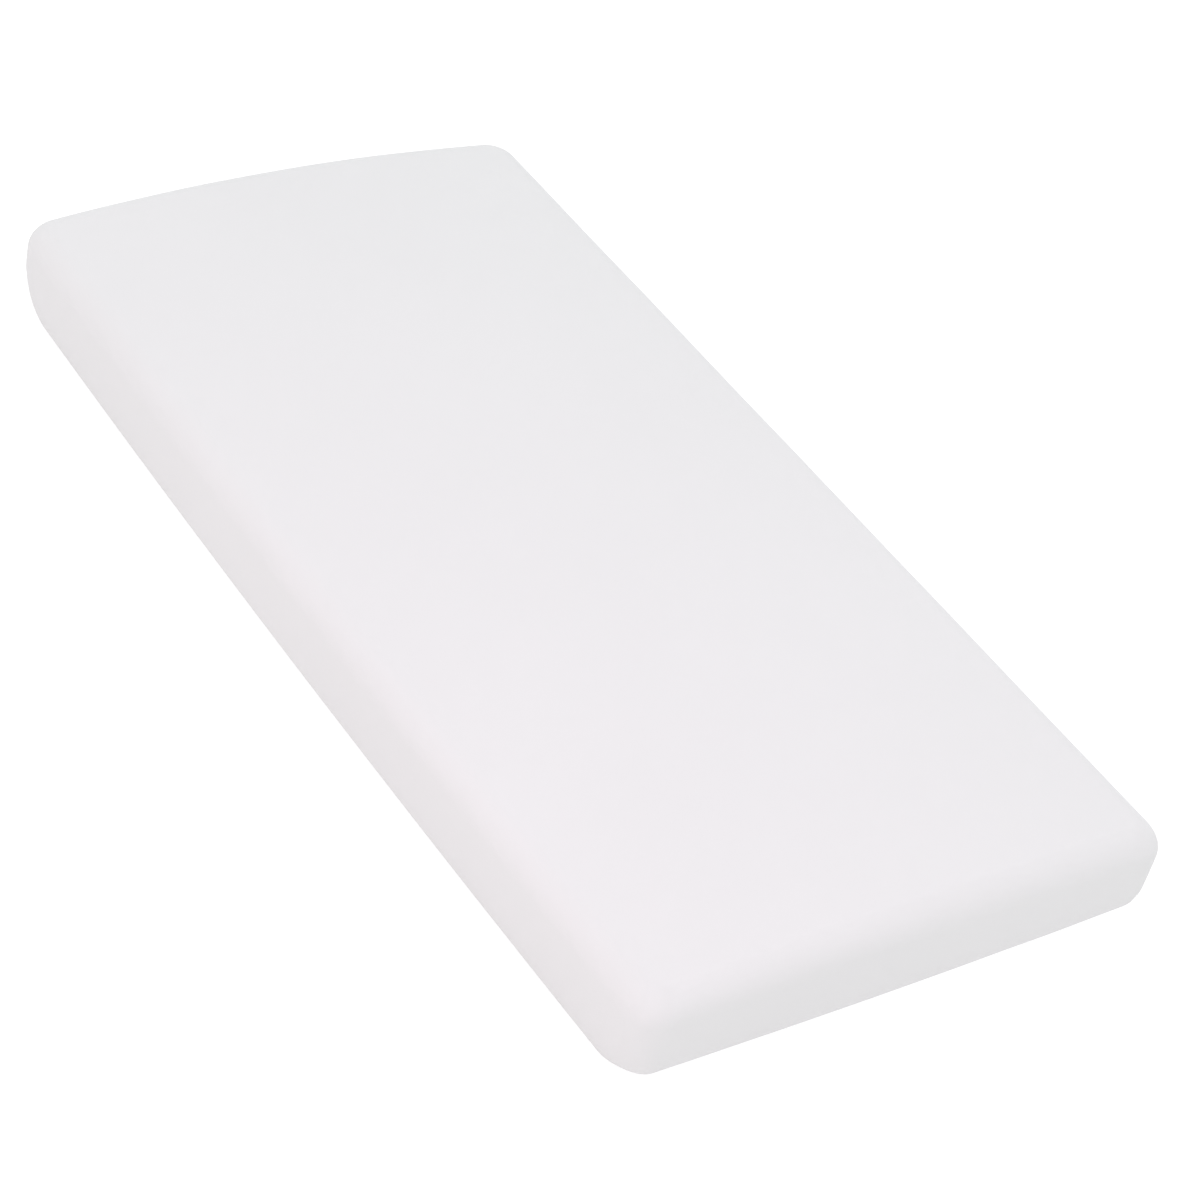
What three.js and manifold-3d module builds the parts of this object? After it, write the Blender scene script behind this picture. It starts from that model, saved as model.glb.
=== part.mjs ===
// A single memory foam mattress: three foam layers in a knitted sleeve, inside a zipped
// stretch-knit cover. Millimetres, +X across the width, +Y along the length, +Z up.
// The origin is the middle of the underside, on the surface that the mattress lies on.
import * as THREE from "three";
import { mergeVertices } from "three/addons/utils/BufferGeometryUtils.js";
import Module from "manifold-3d";

const wasm = await Module();
wasm.setup();

// The whole mattress.
const WIDTH = 1000;
const LENGTH = 2000;
const EDGE_HEIGHT = 177; // at the long edges
const DOME = 23; // how much higher the middle of the width is
const SIDE_BOW = 14; // the long side without the zip swells by this at its middle
const END_BOW = 8; // and each short end by this
const CORNER_RADIUS = 47; // seen from above
const TOP_RADIUS = 40; // of the edge between a wall and the top
const SIDE_TUCK_IN = 28; // the long walls lean in by this towards the floor
const SIDE_TUCK_UP = 137; // from this height down
const END_TUCK_IN = 86; // the short ends curl under by this
const END_TUCK_UP = 70;

// Fabric and foam.
const GAP = 0.3; // between pieces that touch on the real mattress
const COVER_THICK = 3;
const SLEEVE_THICK = 0.8;
const SUPPORT_TOP = 90; // height of the support core's upper face at the long edges
const AIRFLOW_TOP = 120; // height of the airflow layer's upper face

// The base panel and the overlocked seam round it.
const BASE_MARGIN = 12; // from the edge of the flat underside to the base panel
const BASE_CORNER = 30;
const SEAM_WIDTH = 2.4;
const SEAM_LOW = 0.8;
const SEAM_HIGH = 2.2;

// The opening where the sleeve is tacked together at one short end.
const SLEEVE_SLIT_WIDTH = 600;
const SLEEVE_SLIT_LOW = 90;
const SLEEVE_SLIT_HIGH = 120;

// The zip, a coil chain along one long side.
const ZIP_LENGTH = 1800;
const ZIP_LEVEL = 2; // it lies between this level of the wall and the next
const ZIP_WINDOW = 26; // height of the slit in the cover
const ZIP_SINK = 0.7; // the tapes' middle plane lies this far inside the cover's face
const TAPE_THICK = 0.6;
const TAPE_INNER = 3.3; // from the zip's middle line to a tape's inner edge
const COIL_INNER = 0.8;
const COIL_OUTER = 3.0;
const COIL_THICK = 2.2;
const COIL_END_ROOM = 12; // bare tape at each end of the chain
const STOP_LENGTH = 3.7;
const STOP_HEIGHT = 6.6;
const STOP_THICK = 2.8;
const END_PATCH = { length: 15, height: 34, overlap: 8, low: 1.05, thick: 0.8 };

// The slider and its pull tab, in the zip's own frame.
const SLIDER_LENGTH = 13;
const SLIDER_WIDTH = 10;
const SLIDER_CHAMFER = 2;
const PLATE_LOW = 1.4; // from the zip's middle plane to the inside of each plate
const PLATE_HIGH = 2.3;
const FLANGE_LOW = 0.7;
const FLANGE_THICK = 1.1;
const POST_LENGTH = 3;
const POST_WIDTH = 1;
const BRIDGE_LENGTH = 8.8;
const BRIDGE_LEG = 1.2;
const BRIDGE_WIDTH = 2.2;
const BRIDGE_TOP = 6;
const BRIDGE_BAR = 1;
const SLIDER_TO_STOP = 5.5; // left between the closed slider's nose and the chain's end
const PULL_AXIS = 3.7; // height of the tab's pivot over the zip's middle plane
const PULL_THICK = 1.2;
const PULL_LENGTH = 34;
const PULL_WIDTH = 7;
const PULL_EYE = { length: 5.4, width: 3.4 };
const PULL_HOLE_RADIUS = 1.5;
const PULL_HOLE_FROM_TIP = 4.5;

// The blank care label, sewn flat on the wall above the zip.
const LABEL = { length: 70, height: 34, thick: 0.5, atY: -640 };

// How finely curved faces are divided.
const TUCK_STEPS = 5;
const EDGE_STEPS = 4;
const CORNER_STEPS = 5;
const WALL_STEPS = 6;
const DOME_STEPS = 4;
const SLAB_STRIPS = 20;

const HALF_WIDTH = (WIDTH - SIDE_BOW) / 2;
const HALF_LENGTH = LENGTH / 2 - END_BOW;
const SMALLEST_CORNER = 4;
const QUARTER_TURN = Math.PI / 2;

const knit = () => new THREE.MeshStandardMaterial({ color: 0xf3f1f2, roughness: 0.9 });
const weave = () => new THREE.MeshStandardMaterial({ color: 0xe9e8ea, roughness: 0.85 });
const nylon = () => new THREE.MeshStandardMaterial({ color: 0xefeeee, roughness: 0.4 });
const paintedMetal = () =>
  new THREE.MeshStandardMaterial({ color: 0xe4e3e3, roughness: 0.35, metalness: 0.2 });
const foam = (color) => new THREE.MeshStandardMaterial({ color, roughness: 1 });

// A closed geometry as a solid that can be cut and joined.
function toSolid(geometry) {
  const bare = geometry.clone();
  bare.deleteAttribute("normal");
  bare.deleteAttribute("uv");
  const merged = mergeVertices(bare);
  const vertProperties = new Float32Array(merged.attributes.position.array);
  const triVerts = new Uint32Array(merged.index.array);
  return new wasm.Manifold(new wasm.Mesh({ numProp: 3, vertProperties, triVerts }));
}

function toGeometry(solid) {
  const { vertProperties, triVerts } = solid.getMesh();
  const geometry = new THREE.BufferGeometry();
  geometry.setAttribute("position", new THREE.BufferAttribute(vertProperties, 3));
  geometry.setIndex(new THREE.BufferAttribute(triVerts, 1));
  geometry.computeVertexNormals();
  return geometry;
}

const join = (...geometries) =>
  toGeometry(geometries.map(toSolid).reduce((whole, piece) => whole.add(piece)));

const cut = (from, ...tools) =>
  toGeometry(tools.map(toSolid).reduce((left, tool) => left.subtract(tool), toSolid(from)));

const common = (a, b) => toGeometry(toSolid(a).intersect(toSolid(b)));

function mesh(name, geometry, material) {
  const made = new THREE.Mesh(geometry, material);
  made.name = name;
  return made;
}

// A box given by its lowest and highest corners.
function block(low, high, strips = 1) {
  const size = high.map((value, axis) => value - low[axis]);
  const geometry = new THREE.BoxGeometry(...size, strips, 1, 1);
  return geometry.translate(...high.map((value, axis) => (value + low[axis]) / 2));
}

// The height of a point after the middle of the width is domed.
function domed(x, z) {
  const across = x / HALF_WIDTH;
  return z * (1 + (DOME / EDGE_HEIGHT) * (1 - across * across));
}

// Moves a point of the plain rounded block to where the filled mattress has it.
function swell(point) {
  const across = point.x / HALF_WIDTH;
  const along = point.y / HALF_LENGTH;
  const bow = (SIDE_BOW * (1 - along * along) * (1 - across)) / 2;
  return new THREE.Vector3(
    point.x + SIDE_BOW / 2 - bow,
    point.y + END_BOW * (1 - across * across) * along,
    domed(point.x, point.z),
  );
}

// The wall from the floor up: how far in it stands and how high, on the sides and ends.
function wallProfile(inset) {
  const rows = [];
  for (let step = 0; step <= TUCK_STEPS; step++) {
    const turn = (step / TUCK_STEPS) * QUARTER_TURN;
    const inwards = 1 - Math.sin(turn);
    const upwards = 1 - Math.cos(turn);
    rows.push({
      sideIn: inset + SIDE_TUCK_IN * inwards,
      sideUp: inset + (SIDE_TUCK_UP - inset) * upwards,
      endIn: inset + END_TUCK_IN * inwards,
      endUp: inset + (END_TUCK_UP - inset) * upwards,
    });
  }
  const radius = TOP_RADIUS - inset;
  for (let step = 0; step <= EDGE_STEPS; step++) {
    const turn = (step / EDGE_STEPS) * QUARTER_TURN;
    const inwards = inset + radius * (1 - Math.cos(turn));
    const upwards = EDGE_HEIGHT - TOP_RADIUS + radius * Math.sin(turn);
    rows.push({ sideIn: inwards, sideUp: upwards, endIn: inwards, endUp: upwards });
  }
  return rows;
}

// One level of the wall, counterclockwise seen from above, starting on the +X side.
function wallRing({ sideIn, sideUp, endIn, endUp }) {
  const halfWidth = HALF_WIDTH - sideIn;
  const halfLength = HALF_LENGTH - endIn;
  const radius = Math.max(CORNER_RADIUS - Math.min(sideIn, endIn) / 2, SMALLEST_CORNER);
  const corner = (quarter) => {
    const points = [];
    for (let step = 0; step <= CORNER_STEPS; step++) {
      const turn = (quarter + step / CORNER_STEPS) * QUARTER_TURN;
      const toEnd = Math.sin(turn) ** 2;
      const signX = quarter === 0 || quarter === 3 ? 1 : -1;
      const signY = quarter < 2 ? 1 : -1;
      points.push(
        new THREE.Vector3(
          signX * (halfWidth - radius) + radius * Math.cos(turn),
          signY * (halfLength - radius) + radius * Math.sin(turn),
          sideUp * (1 - toEnd) + endUp * toEnd,
        ),
      );
    }
    return points;
  };
  const ring = [];
  for (let quarter = 0; quarter < 4; quarter++) {
    const points = corner(quarter);
    const last = points[CORNER_STEPS];
    const next = corner((quarter + 1) % 4)[0];
    ring.push(...points);
    for (let step = 1; step < WALL_STEPS; step++) {
      ring.push(last.clone().lerp(next, step / WALL_STEPS));
    }
  }
  return ring;
}

// The levels of the wall and then those of the top, which draw in towards the middle.
function bodyRings(inset) {
  const rings = wallProfile(inset).map(wallRing);
  const rim = rings[rings.length - 1];
  for (let step = 1; step < DOME_STEPS; step++) {
    const share = 1 - step / DOME_STEPS;
    rings.push(rim.map((p) => new THREE.Vector3(p.x * share, p.y * share, p.z)));
  }
  return rings;
}

// The mattress body drawn in by an inset all round, as one closed skin.
function body(inset) {
  const rings = bodyRings(inset);
  const count = rings[0].length;
  const top = rings[rings.length - 1][0].z;
  const points = rings.flat();
  const floorMiddle = points.push(new THREE.Vector3(0, 0, inset)) - 1;
  const topMiddle = points.push(new THREE.Vector3(0, 0, top)) - 1;
  const index = [];
  for (let i = 0; i < count; i++) {
    const next = (i + 1) % count;
    for (let level = 0; level < rings.length - 1; level++) {
      const low = level * count;
      const high = low + count;
      index.push(low + i, low + next, high + next, low + i, high + next, high + i);
    }
    const last = (rings.length - 1) * count;
    index.push(floorMiddle, next, i, topMiddle, last + i, last + next);
  }
  const geometry = new THREE.BufferGeometry().setFromPoints(points.map(swell));
  return geometry.setIndex(index);
}

// An upright slab with the outline of a rounded rectangle, centred on the underside.
function roundedSlab(halfWidth, halfLength, radius, low, high) {
  const outline = new THREE.Shape();
  const cornerX = halfWidth - radius;
  const cornerY = halfLength - radius;
  outline.absarc(cornerX, cornerY, radius, 0, QUARTER_TURN);
  outline.absarc(-cornerX, cornerY, radius, QUARTER_TURN, 2 * QUARTER_TURN);
  outline.absarc(-cornerX, -cornerY, radius, 2 * QUARTER_TURN, 3 * QUARTER_TURN);
  outline.absarc(cornerX, -cornerY, radius, 3 * QUARTER_TURN, 4 * QUARTER_TURN);
  const options = { depth: high - low, bevelEnabled: false, curveSegments: CORNER_STEPS };
  const geometry = new THREE.ExtrudeGeometry(outline, options);
  return geometry.translate(SIDE_BOW / 2, 0, low);
}

// The base panel's outline, let out by some distance.
function baseSlab(out, low, high) {
  const halfWidth = HALF_WIDTH - SIDE_TUCK_IN - BASE_MARGIN + out;
  const halfLength = HALF_LENGTH - END_TUCK_IN - BASE_MARGIN + out;
  return roundedSlab(halfWidth, halfLength, BASE_CORNER + out, low, high);
}

// The flat facet of the +X wall between one level and the next: its middle and its lean.
function facet(level) {
  const [lower, upper] = wallProfile(0).slice(level, level + 2);
  return {
    x: WIDTH / 2 - (lower.sideIn + upper.sideIn) / 2,
    z: (lower.sideUp + upper.sideUp) / 2,
    lean: Math.atan2(lower.sideIn - upper.sideIn, upper.sideUp - lower.sideUp),
  };
}

// A place on such a facet, moved out of the wall by some distance.
function onFacet(level, out) {
  const { x, z, lean } = facet(level);
  return { x: x + out * Math.cos(lean), z: z - out * Math.sin(lean), lean };
}

// The slit in the cover that the zip closes, in the mattress's frame.
function zipWindow({ x, z, lean }) {
  const deep = 4 * COVER_THICK;
  const halfHeight = ZIP_WINDOW / 2;
  const halfLength = ZIP_LENGTH / 2 + GAP;
  const slit = block([-deep, -halfLength, -halfHeight], [deep, halfLength, halfHeight]);
  return slit.rotateY(lean).translate(x, 0, z);
}

function coverShell(place) {
  const opening = baseSlab(SEAM_WIDTH + 2 * GAP, -1, COVER_THICK + 1);
  const geometry = cut(body(0), body(COVER_THICK), opening, zipWindow(place));
  return mesh("cover_shell", geometry, knit());
}

function coverBase() {
  return mesh("cover_base", baseSlab(0, 0, COVER_THICK), weave());
}

function baseSeam() {
  const outer = baseSlab(GAP + SEAM_WIDTH, SEAM_LOW, SEAM_HIGH);
  const inner = baseSlab(GAP, SEAM_LOW - 1, SEAM_HIGH + 1);
  return mesh("base_seam_overlock", cut(outer, inner), weave());
}

function innerSleeve() {
  const outside = COVER_THICK + GAP;
  const slit = block(
    [-SLEEVE_SLIT_WIDTH / 2, HALF_LENGTH / 2, SLEEVE_SLIT_LOW],
    [SLEEVE_SLIT_WIDTH / 2, LENGTH, SLEEVE_SLIT_HIGH],
  );
  const geometry = cut(body(outside), body(outside + SLEEVE_THICK), slit);
  return mesh("inner_sleeve", geometry, knit());
}

// A slab between two heights whose faces follow the dome.
function domedSlab(low, high) {
  const slab = block([-WIDTH, -LENGTH, low], [WIDTH, LENGTH, high], 2 * SLAB_STRIPS);
  const position = slab.attributes.position;
  for (let i = 0; i < position.count; i++) {
    position.setZ(i, domed(position.getX(i), position.getZ(i)));
  }
  return slab;
}

function foamLayer(name, low, high, color) {
  const filling = body(COVER_THICK + SLEEVE_THICK + 2 * GAP);
  return mesh(name, common(filling, domedSlab(low, high)), foam(color));
}

function foamLayers() {
  const floor = 0.1;
  const above = EDGE_HEIGHT + 1;
  return [
    foamLayer("support_foam_core", floor, SUPPORT_TOP, 0xe7e8ec),
    foamLayer("airflow_foam_layer", SUPPORT_TOP + GAP, AIRFLOW_TOP, 0xd9e7ee),
    foamLayer("memory_foam_layer", AIRFLOW_TOP + GAP, above, 0xf4efdf),
  ];
}

// A flat piece in the zip's frame: drawn in Y and Z, and thick along X.
function zipPlate(outline, low, high) {
  const options = { depth: high - low, bevelEnabled: false, curveSegments: 8 };
  const geometry = new THREE.ExtrudeGeometry(outline, options).translate(0, 0, low);
  const toY = new THREE.Vector3(0, 1, 0);
  const toZ = new THREE.Vector3(0, 0, 1);
  const toX = new THREE.Vector3(1, 0, 0);
  return geometry.applyMatrix4(new THREE.Matrix4().makeBasis(toY, toZ, toX));
}

// Both halves of the tapes and the coil chain; side is 1 for the upper one.
function zipStrip(name, side, [inner, outer], thick, halfLength, material) {
  const [low, high] = side > 0 ? [inner, outer] : [-outer, -inner];
  const geometry = block([-thick / 2, -halfLength, low], [thick / 2, halfLength, high]);
  return mesh(name, geometry, material);
}

function zipChain() {
  const tape = [TAPE_INNER, ZIP_WINDOW / 2 - GAP];
  const coil = [COIL_INNER, COIL_OUTER];
  const coilHalf = ZIP_LENGTH / 2 - COIL_END_ROOM;
  return [
    zipStrip("zip_tape_upper", 1, tape, TAPE_THICK, ZIP_LENGTH / 2, weave()),
    zipStrip("zip_tape_lower", -1, tape, TAPE_THICK, ZIP_LENGTH / 2, weave()),
    zipStrip("zip_coil_upper", 1, coil, COIL_THICK, coilHalf, nylon()),
    zipStrip("zip_coil_lower", -1, coil, COIL_THICK, coilHalf, nylon()),
  ];
}

// The crimped stop and the sewn fabric patch at one end; end is 1 at the +Y end.
function zipEnd(label, end) {
  const stopAt = end * (ZIP_LENGTH / 2 - COIL_END_ROOM + GAP + STOP_LENGTH / 2);
  const stop = new THREE.BoxGeometry(STOP_THICK, STOP_LENGTH, STOP_HEIGHT);
  const patchAt = end * (ZIP_LENGTH / 2 + END_PATCH.overlap - END_PATCH.length / 2);
  const patch = new THREE.BoxGeometry(END_PATCH.thick, END_PATCH.length, END_PATCH.height);
  patch.translate(END_PATCH.low + END_PATCH.thick / 2, patchAt, 0);
  return [
    mesh(`zip_stop_${label}`, stop.translate(0, stopAt, 0), paintedMetal()),
    mesh(`zip_end_patch_${label}`, patch, knit()),
  ];
}

function sliderOutline() {
  const halfLength = SLIDER_LENGTH / 2;
  const halfWidth = SLIDER_WIDTH / 2;
  const outline = new THREE.Shape();
  outline.moveTo(-halfLength, -halfWidth + SLIDER_CHAMFER);
  outline.lineTo(-halfLength + SLIDER_CHAMFER, -halfWidth);
  outline.lineTo(halfLength - SLIDER_CHAMFER, -halfWidth);
  outline.lineTo(halfLength, -halfWidth + SLIDER_CHAMFER);
  outline.lineTo(halfLength, halfWidth - SLIDER_CHAMFER);
  outline.lineTo(halfLength - SLIDER_CHAMFER, halfWidth);
  outline.lineTo(-halfLength + SLIDER_CHAMFER, halfWidth);
  outline.lineTo(-halfLength, halfWidth - SLIDER_CHAMFER);
  outline.closePath();
  return outline;
}

// The rims that keep the chain in, on one plate and one side of it.
function sliderFlange(face, side) {
  const reach = SLIDER_LENGTH / 2 - SLIDER_CHAMFER;
  const near = SLIDER_WIDTH / 2 - FLANGE_THICK;
  const low = face > 0 ? [FLANGE_LOW, PLATE_HIGH] : [-PLATE_HIGH, -FLANGE_LOW];
  const across = side > 0 ? [near, near + FLANGE_THICK] : [-near - FLANGE_THICK, -near];
  return block([low[0], -reach, across[0]], [low[1], reach, across[1]]);
}

function slider() {
  const nose = SLIDER_LENGTH / 2;
  const halfBridge = BRIDGE_LENGTH / 2;
  const post = block(
    [-PLATE_HIGH, nose - POST_LENGTH, -POST_WIDTH / 2],
    [PLATE_HIGH, nose, POST_WIDTH / 2],
  );
  const bridge = block(
    [PLATE_LOW, -halfBridge, -BRIDGE_WIDTH / 2],
    [BRIDGE_TOP, halfBridge, BRIDGE_WIDTH / 2],
  );
  const eye = block(
    [PLATE_HIGH, -halfBridge + BRIDGE_LEG, -BRIDGE_WIDTH],
    [BRIDGE_TOP - BRIDGE_BAR, halfBridge - BRIDGE_LEG, BRIDGE_WIDTH],
  );
  return join(
    zipPlate(sliderOutline(), PLATE_LOW, PLATE_HIGH),
    zipPlate(sliderOutline(), -PLATE_HIGH, -PLATE_LOW),
    post,
    cut(bridge, eye),
    sliderFlange(1, 1),
    sliderFlange(1, -1),
    sliderFlange(-1, 1),
    sliderFlange(-1, -1),
  );
}

// The tab, flat along the closed chain, with the pivot bar at its origin.
function pullTab() {
  const half = PULL_WIDTH / 2;
  const bar = PULL_THICK / 2;
  const tip = bar - PULL_LENGTH;
  const outline = new THREE.Shape();
  outline.moveTo(bar, -half);
  outline.lineTo(bar, half);
  outline.lineTo(tip + half, half);
  outline.absarc(tip + half, 0, half, QUARTER_TURN, 3 * QUARTER_TURN);
  outline.closePath();
  const eye = new THREE.Path();
  eye.moveTo(-bar, -PULL_EYE.width / 2);
  eye.lineTo(-bar - PULL_EYE.length, -PULL_EYE.width / 2);
  eye.lineTo(-bar - PULL_EYE.length, PULL_EYE.width / 2);
  eye.lineTo(-bar, PULL_EYE.width / 2);
  eye.closePath();
  const hole = new THREE.Path();
  hole.absarc(tip + PULL_HOLE_FROM_TIP, 0, PULL_HOLE_RADIUS, 0, 4 * QUARTER_TURN);
  outline.holes.push(eye, hole);
  return zipPlate(outline, -PULL_THICK / 2, PULL_THICK / 2);
}

function zipMovingParts() {
  const closedAt = ZIP_LENGTH / 2 - COIL_END_ROOM - SLIDER_TO_STOP - SLIDER_LENGTH / 2;
  const zipSlider = mesh("zip_slider", slider(), paintedMetal());
  const tab = mesh("zip_pull_tab", pullTab(), paintedMetal());
  tab.position.x = PULL_AXIS;
  const carriage = new THREE.Group();
  carriage.position.y = closedAt;
  carriage.add(zipSlider, tab);
  return carriage;
}

function zip(place) {
  const group = new THREE.Group();
  group.position.set(place.x, 0, place.z);
  group.rotation.y = place.lean;
  group.add(...zipChain(), ...zipEnd("closed", 1), ...zipEnd("open", -1), zipMovingParts());
  return group;
}

// The label lies on the facet just above the zip's.
function careLabel() {
  const place = onFacet(ZIP_LEVEL + 1, GAP + LABEL.thick / 2);
  const shape = new THREE.BoxGeometry(LABEL.thick, LABEL.length, LABEL.height);
  const label = mesh("care_label", shape, weave());
  label.rotation.y = place.lean;
  label.position.set(place.x, LABEL.atY, place.z);
  return label;
}

const zipPlace = onFacet(ZIP_LEVEL, -ZIP_SINK);
const mattress = new THREE.Group();
mattress.add(coverShell(zipPlace), coverBase(), baseSeam(), innerSleeve());
mattress.add(...foamLayers(), zip(zipPlace), careLabel());

export default mattress;
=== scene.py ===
"""The looks of a memory foam mattress, built round its CAD frame. Metres, +Z up."""

import math

import bpy
import numpy as np
from mathutils import Matrix, Vector
from mathutils.kdtree import KDTree


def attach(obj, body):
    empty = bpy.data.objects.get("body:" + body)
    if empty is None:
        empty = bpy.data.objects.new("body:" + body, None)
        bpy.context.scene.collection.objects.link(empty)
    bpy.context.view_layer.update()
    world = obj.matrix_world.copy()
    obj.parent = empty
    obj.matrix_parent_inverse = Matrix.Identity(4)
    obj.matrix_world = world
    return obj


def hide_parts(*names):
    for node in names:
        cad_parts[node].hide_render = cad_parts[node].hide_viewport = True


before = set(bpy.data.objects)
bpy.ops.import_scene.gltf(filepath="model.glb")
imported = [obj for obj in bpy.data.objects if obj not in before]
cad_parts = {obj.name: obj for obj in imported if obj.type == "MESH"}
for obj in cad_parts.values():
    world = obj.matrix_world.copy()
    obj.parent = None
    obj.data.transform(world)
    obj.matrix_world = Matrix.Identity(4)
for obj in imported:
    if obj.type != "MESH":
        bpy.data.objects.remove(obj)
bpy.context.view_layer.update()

MM = 0.001
QUARTER = math.pi / 2
FULL_TURN = 2 * math.pi

# The mattress's form, the same as in the CAD model.
WIDTH = 1000 * MM
LENGTH = 2000 * MM
EDGE_HEIGHT = 177 * MM
DOME = 23 * MM
SIDE_BOW = 14 * MM
END_BOW = 8 * MM
CORNER_RADIUS = 47 * MM
SMALLEST_CORNER = 4 * MM
TOP_RADIUS = 40 * MM
SIDE_TUCK_IN = 28 * MM
SIDE_TUCK_UP = 137 * MM
END_TUCK_IN = 86 * MM
END_TUCK_UP = 70 * MM
TUCK_STEPS = 5
HALF_WIDTH = (WIDTH - SIDE_BOW) / 2
HALF_LENGTH = LENGTH / 2 - END_BOW
PARTING = 1 - math.cos(0.8 * QUARTER)  # share of the tuck where sides and ends part ways

# The layers inside.
COVER_THICK = 2.5 * MM
SLEEVE_INSET = 3.4 * MM
SLEEVE_THICK = 0.6 * MM
FOAM_INSET = 4.6 * MM
SUPPORT_SPAN = (4.6 * MM, 90 * MM)
AIRFLOW_SPAN = (90.4 * MM, 120 * MM)
MEMORY_LOW = 120.4 * MM

# The base panel and the seam round it.
BASE_HALF_WIDTH = HALF_WIDTH - SIDE_TUCK_IN - 12 * MM
BASE_HALF_LENGTH = HALF_LENGTH - END_TUCK_IN - 12 * MM
BASE_CORNER = 30 * MM
SEAM_MIDDLE = 1.5 * MM  # from the panel's edge, and also its height
SEAM_HALF_WIDTH = 1.35 * MM
SEAM_HALF_HEIGHT = 0.95 * MM
COVER_OPENING = 3 * MM  # from the panel's edge to the cover's

# The zip, in a frame of its own: X out of the wall, Y along the zip, Z up the wall.
ZIP_LEVEL = 2
ZIP_SINK = 0.7 * MM
ZIP_HALF = 900 * MM
STITCH_LINE = 11.5 * MM
SLIDER_AT = 876 * MM
PULL_AXIS = 3.7 * MM
PATCH_AT = 900.5 * MM
LABEL_AT = -640 * MM
LABEL_HEIGHT = 75.5 * MM

# How finely the rings are divided: straight runs across and along, and each corner.
FINE = (80, 160, 16)
MEDIUM = (40, 80, 8)


# --- Numbers to meshes ---


def add_object(name, data):
    made = bpy.data.objects.new(name, data)
    bpy.context.scene.collection.objects.link(made)
    return made


def lay_flat(piece, corner_uv):
    """Sets the places on the flat cloth, for each corner of each face."""
    layer = piece.data.uv_layers.new(name="fabric")
    layer.data.foreach_set("uv", np.asarray(corner_uv, np.float32).ravel())


def make_piece(name, points, faces, uv=None):
    """A smooth-shaded mesh object of these points and faces. The places on the flat cloth
    are given for each point."""
    mesh = bpy.data.meshes.new(name)
    mesh.from_pydata(np.asarray(points).tolist(), [], [list(face) for face in faces])
    mesh.update()
    mesh.shade_smooth()
    piece = add_object(name, mesh)
    if uv is not None:
        corners = np.zeros(len(mesh.loops), int)
        mesh.loops.foreach_get("vertex_index", corners)
        lay_flat(piece, np.asarray(uv)[corners])
    return piece


def quads(index, flip=False):
    """The faces of a grid of vertex numbers."""
    corners = [index[:-1, :-1], index[1:, :-1], index[1:, 1:], index[:-1, 1:]]
    faces = np.stack([corner.ravel() for corner in corners], 1)
    return faces[:, ::-1].tolist() if flip else faces.tolist()


def tube_faces(stations, sides):
    """The faces of a tube, and of its two flat ends."""
    index = np.arange(stations * sides).reshape(stations, sides)
    faces = quads(np.hstack([index, index[:, :1]]), flip=True)
    return faces + [index[0][::-1].tolist(), index[-1].tolist()]


def vectors(items, key):
    """A property of each vertex, such as its place, as rows of an array."""
    values = np.zeros(len(items) * 3)
    items.foreach_get(key, values)
    return values.reshape(-1, 3)


def move_points(piece, points):
    piece.data.vertices.foreach_set("co", points.ravel())
    piece.data.update()


def apply_modifiers(piece):
    """Puts what the modifiers make into the mesh and removes them."""
    graph = bpy.context.evaluated_depsgraph_get()
    made = bpy.data.meshes.new_from_object(piece.evaluated_get(graph))
    piece.modifiers.clear()
    piece.data = made


def thicken(piece, thickness, group=""):
    """Gives a skin its thickness, inwards."""
    solid = piece.modifiers.new("Thickness", "SOLIDIFY")
    solid.thickness = thickness
    solid.offset = -1
    solid.vertex_group = group
    apply_modifiers(piece)


def unit(ways):
    """Directions made one metre long."""
    return ways / np.linalg.norm(ways, axis=1, keepdims=True)


def waves(points, size, seed, count=7):
    """A smooth, repeatable unevenness from -1 to 1 with bumps of about this size."""
    draw = np.random.RandomState(seed)
    total = np.zeros(len(points))
    for _ in range(count):
        direction = draw.normal(size=3)
        direction /= np.linalg.norm(direction)
        reach = FULL_TURN / (size * draw.uniform(0.7, 1.6))
        total += np.sin(points @ direction * reach + draw.uniform(0, FULL_TURN))
    return total / count


# --- The mattress's form ---


def swell(points):
    """Moves points of the plain rounded block to where the filled mattress has them."""
    across = points[..., 0] / HALF_WIDTH
    along = points[..., 1] / HALF_LENGTH
    moved = points.copy()
    moved[..., 0] += SIDE_BOW / 2 - SIDE_BOW * (1 - along**2) * (1 - across) / 2
    moved[..., 1] += END_BOW * (1 - across**2) * along
    moved[..., 2] *= 1 + DOME / EDGE_HEIGHT * (1 - across**2)
    return moved


def tucked(height, inset, reach, rise):
    """How far in a wall stands at a height, where it curls under towards the floor."""
    lean = np.clip(1 - (height - inset) / (rise - inset), 0, 1)
    return inset + reach * (1 - np.sqrt(1 - lean**2))


def wall_rows(inset, shares, edge_steps):
    """Rows of the wall from the floor up: side in, side up, end in, end up. The shares
    are of the height up to the top edge."""
    shares = np.asarray(shares)
    side = inset + (SIDE_TUCK_UP - inset) * shares
    end = inset + (END_TUCK_UP - inset) * shares
    parting_height = inset + (END_TUCK_UP - inset) * PARTING
    risen = (shares - PARTING) / (1 - PARTING)
    upright = parting_height + (SIDE_TUCK_UP - parting_height) * risen
    end = np.where(shares > PARTING, upright, end)
    side_in = tucked(side, inset, SIDE_TUCK_IN, SIDE_TUCK_UP)
    end_in = tucked(end, inset, END_TUCK_IN, END_TUCK_UP)
    wall = np.stack([side_in, side, end_in, end], 1)
    turns = np.linspace(0, QUARTER, edge_steps + 1)[1:]
    edge_in = inset + (TOP_RADIUS - inset) * (1 - np.cos(turns))
    edge_up = SIDE_TUCK_UP + (TOP_RADIUS - inset) * np.sin(turns)
    return np.concatenate([wall, np.stack([edge_in, edge_up, edge_in, edge_up], 1)])


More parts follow.
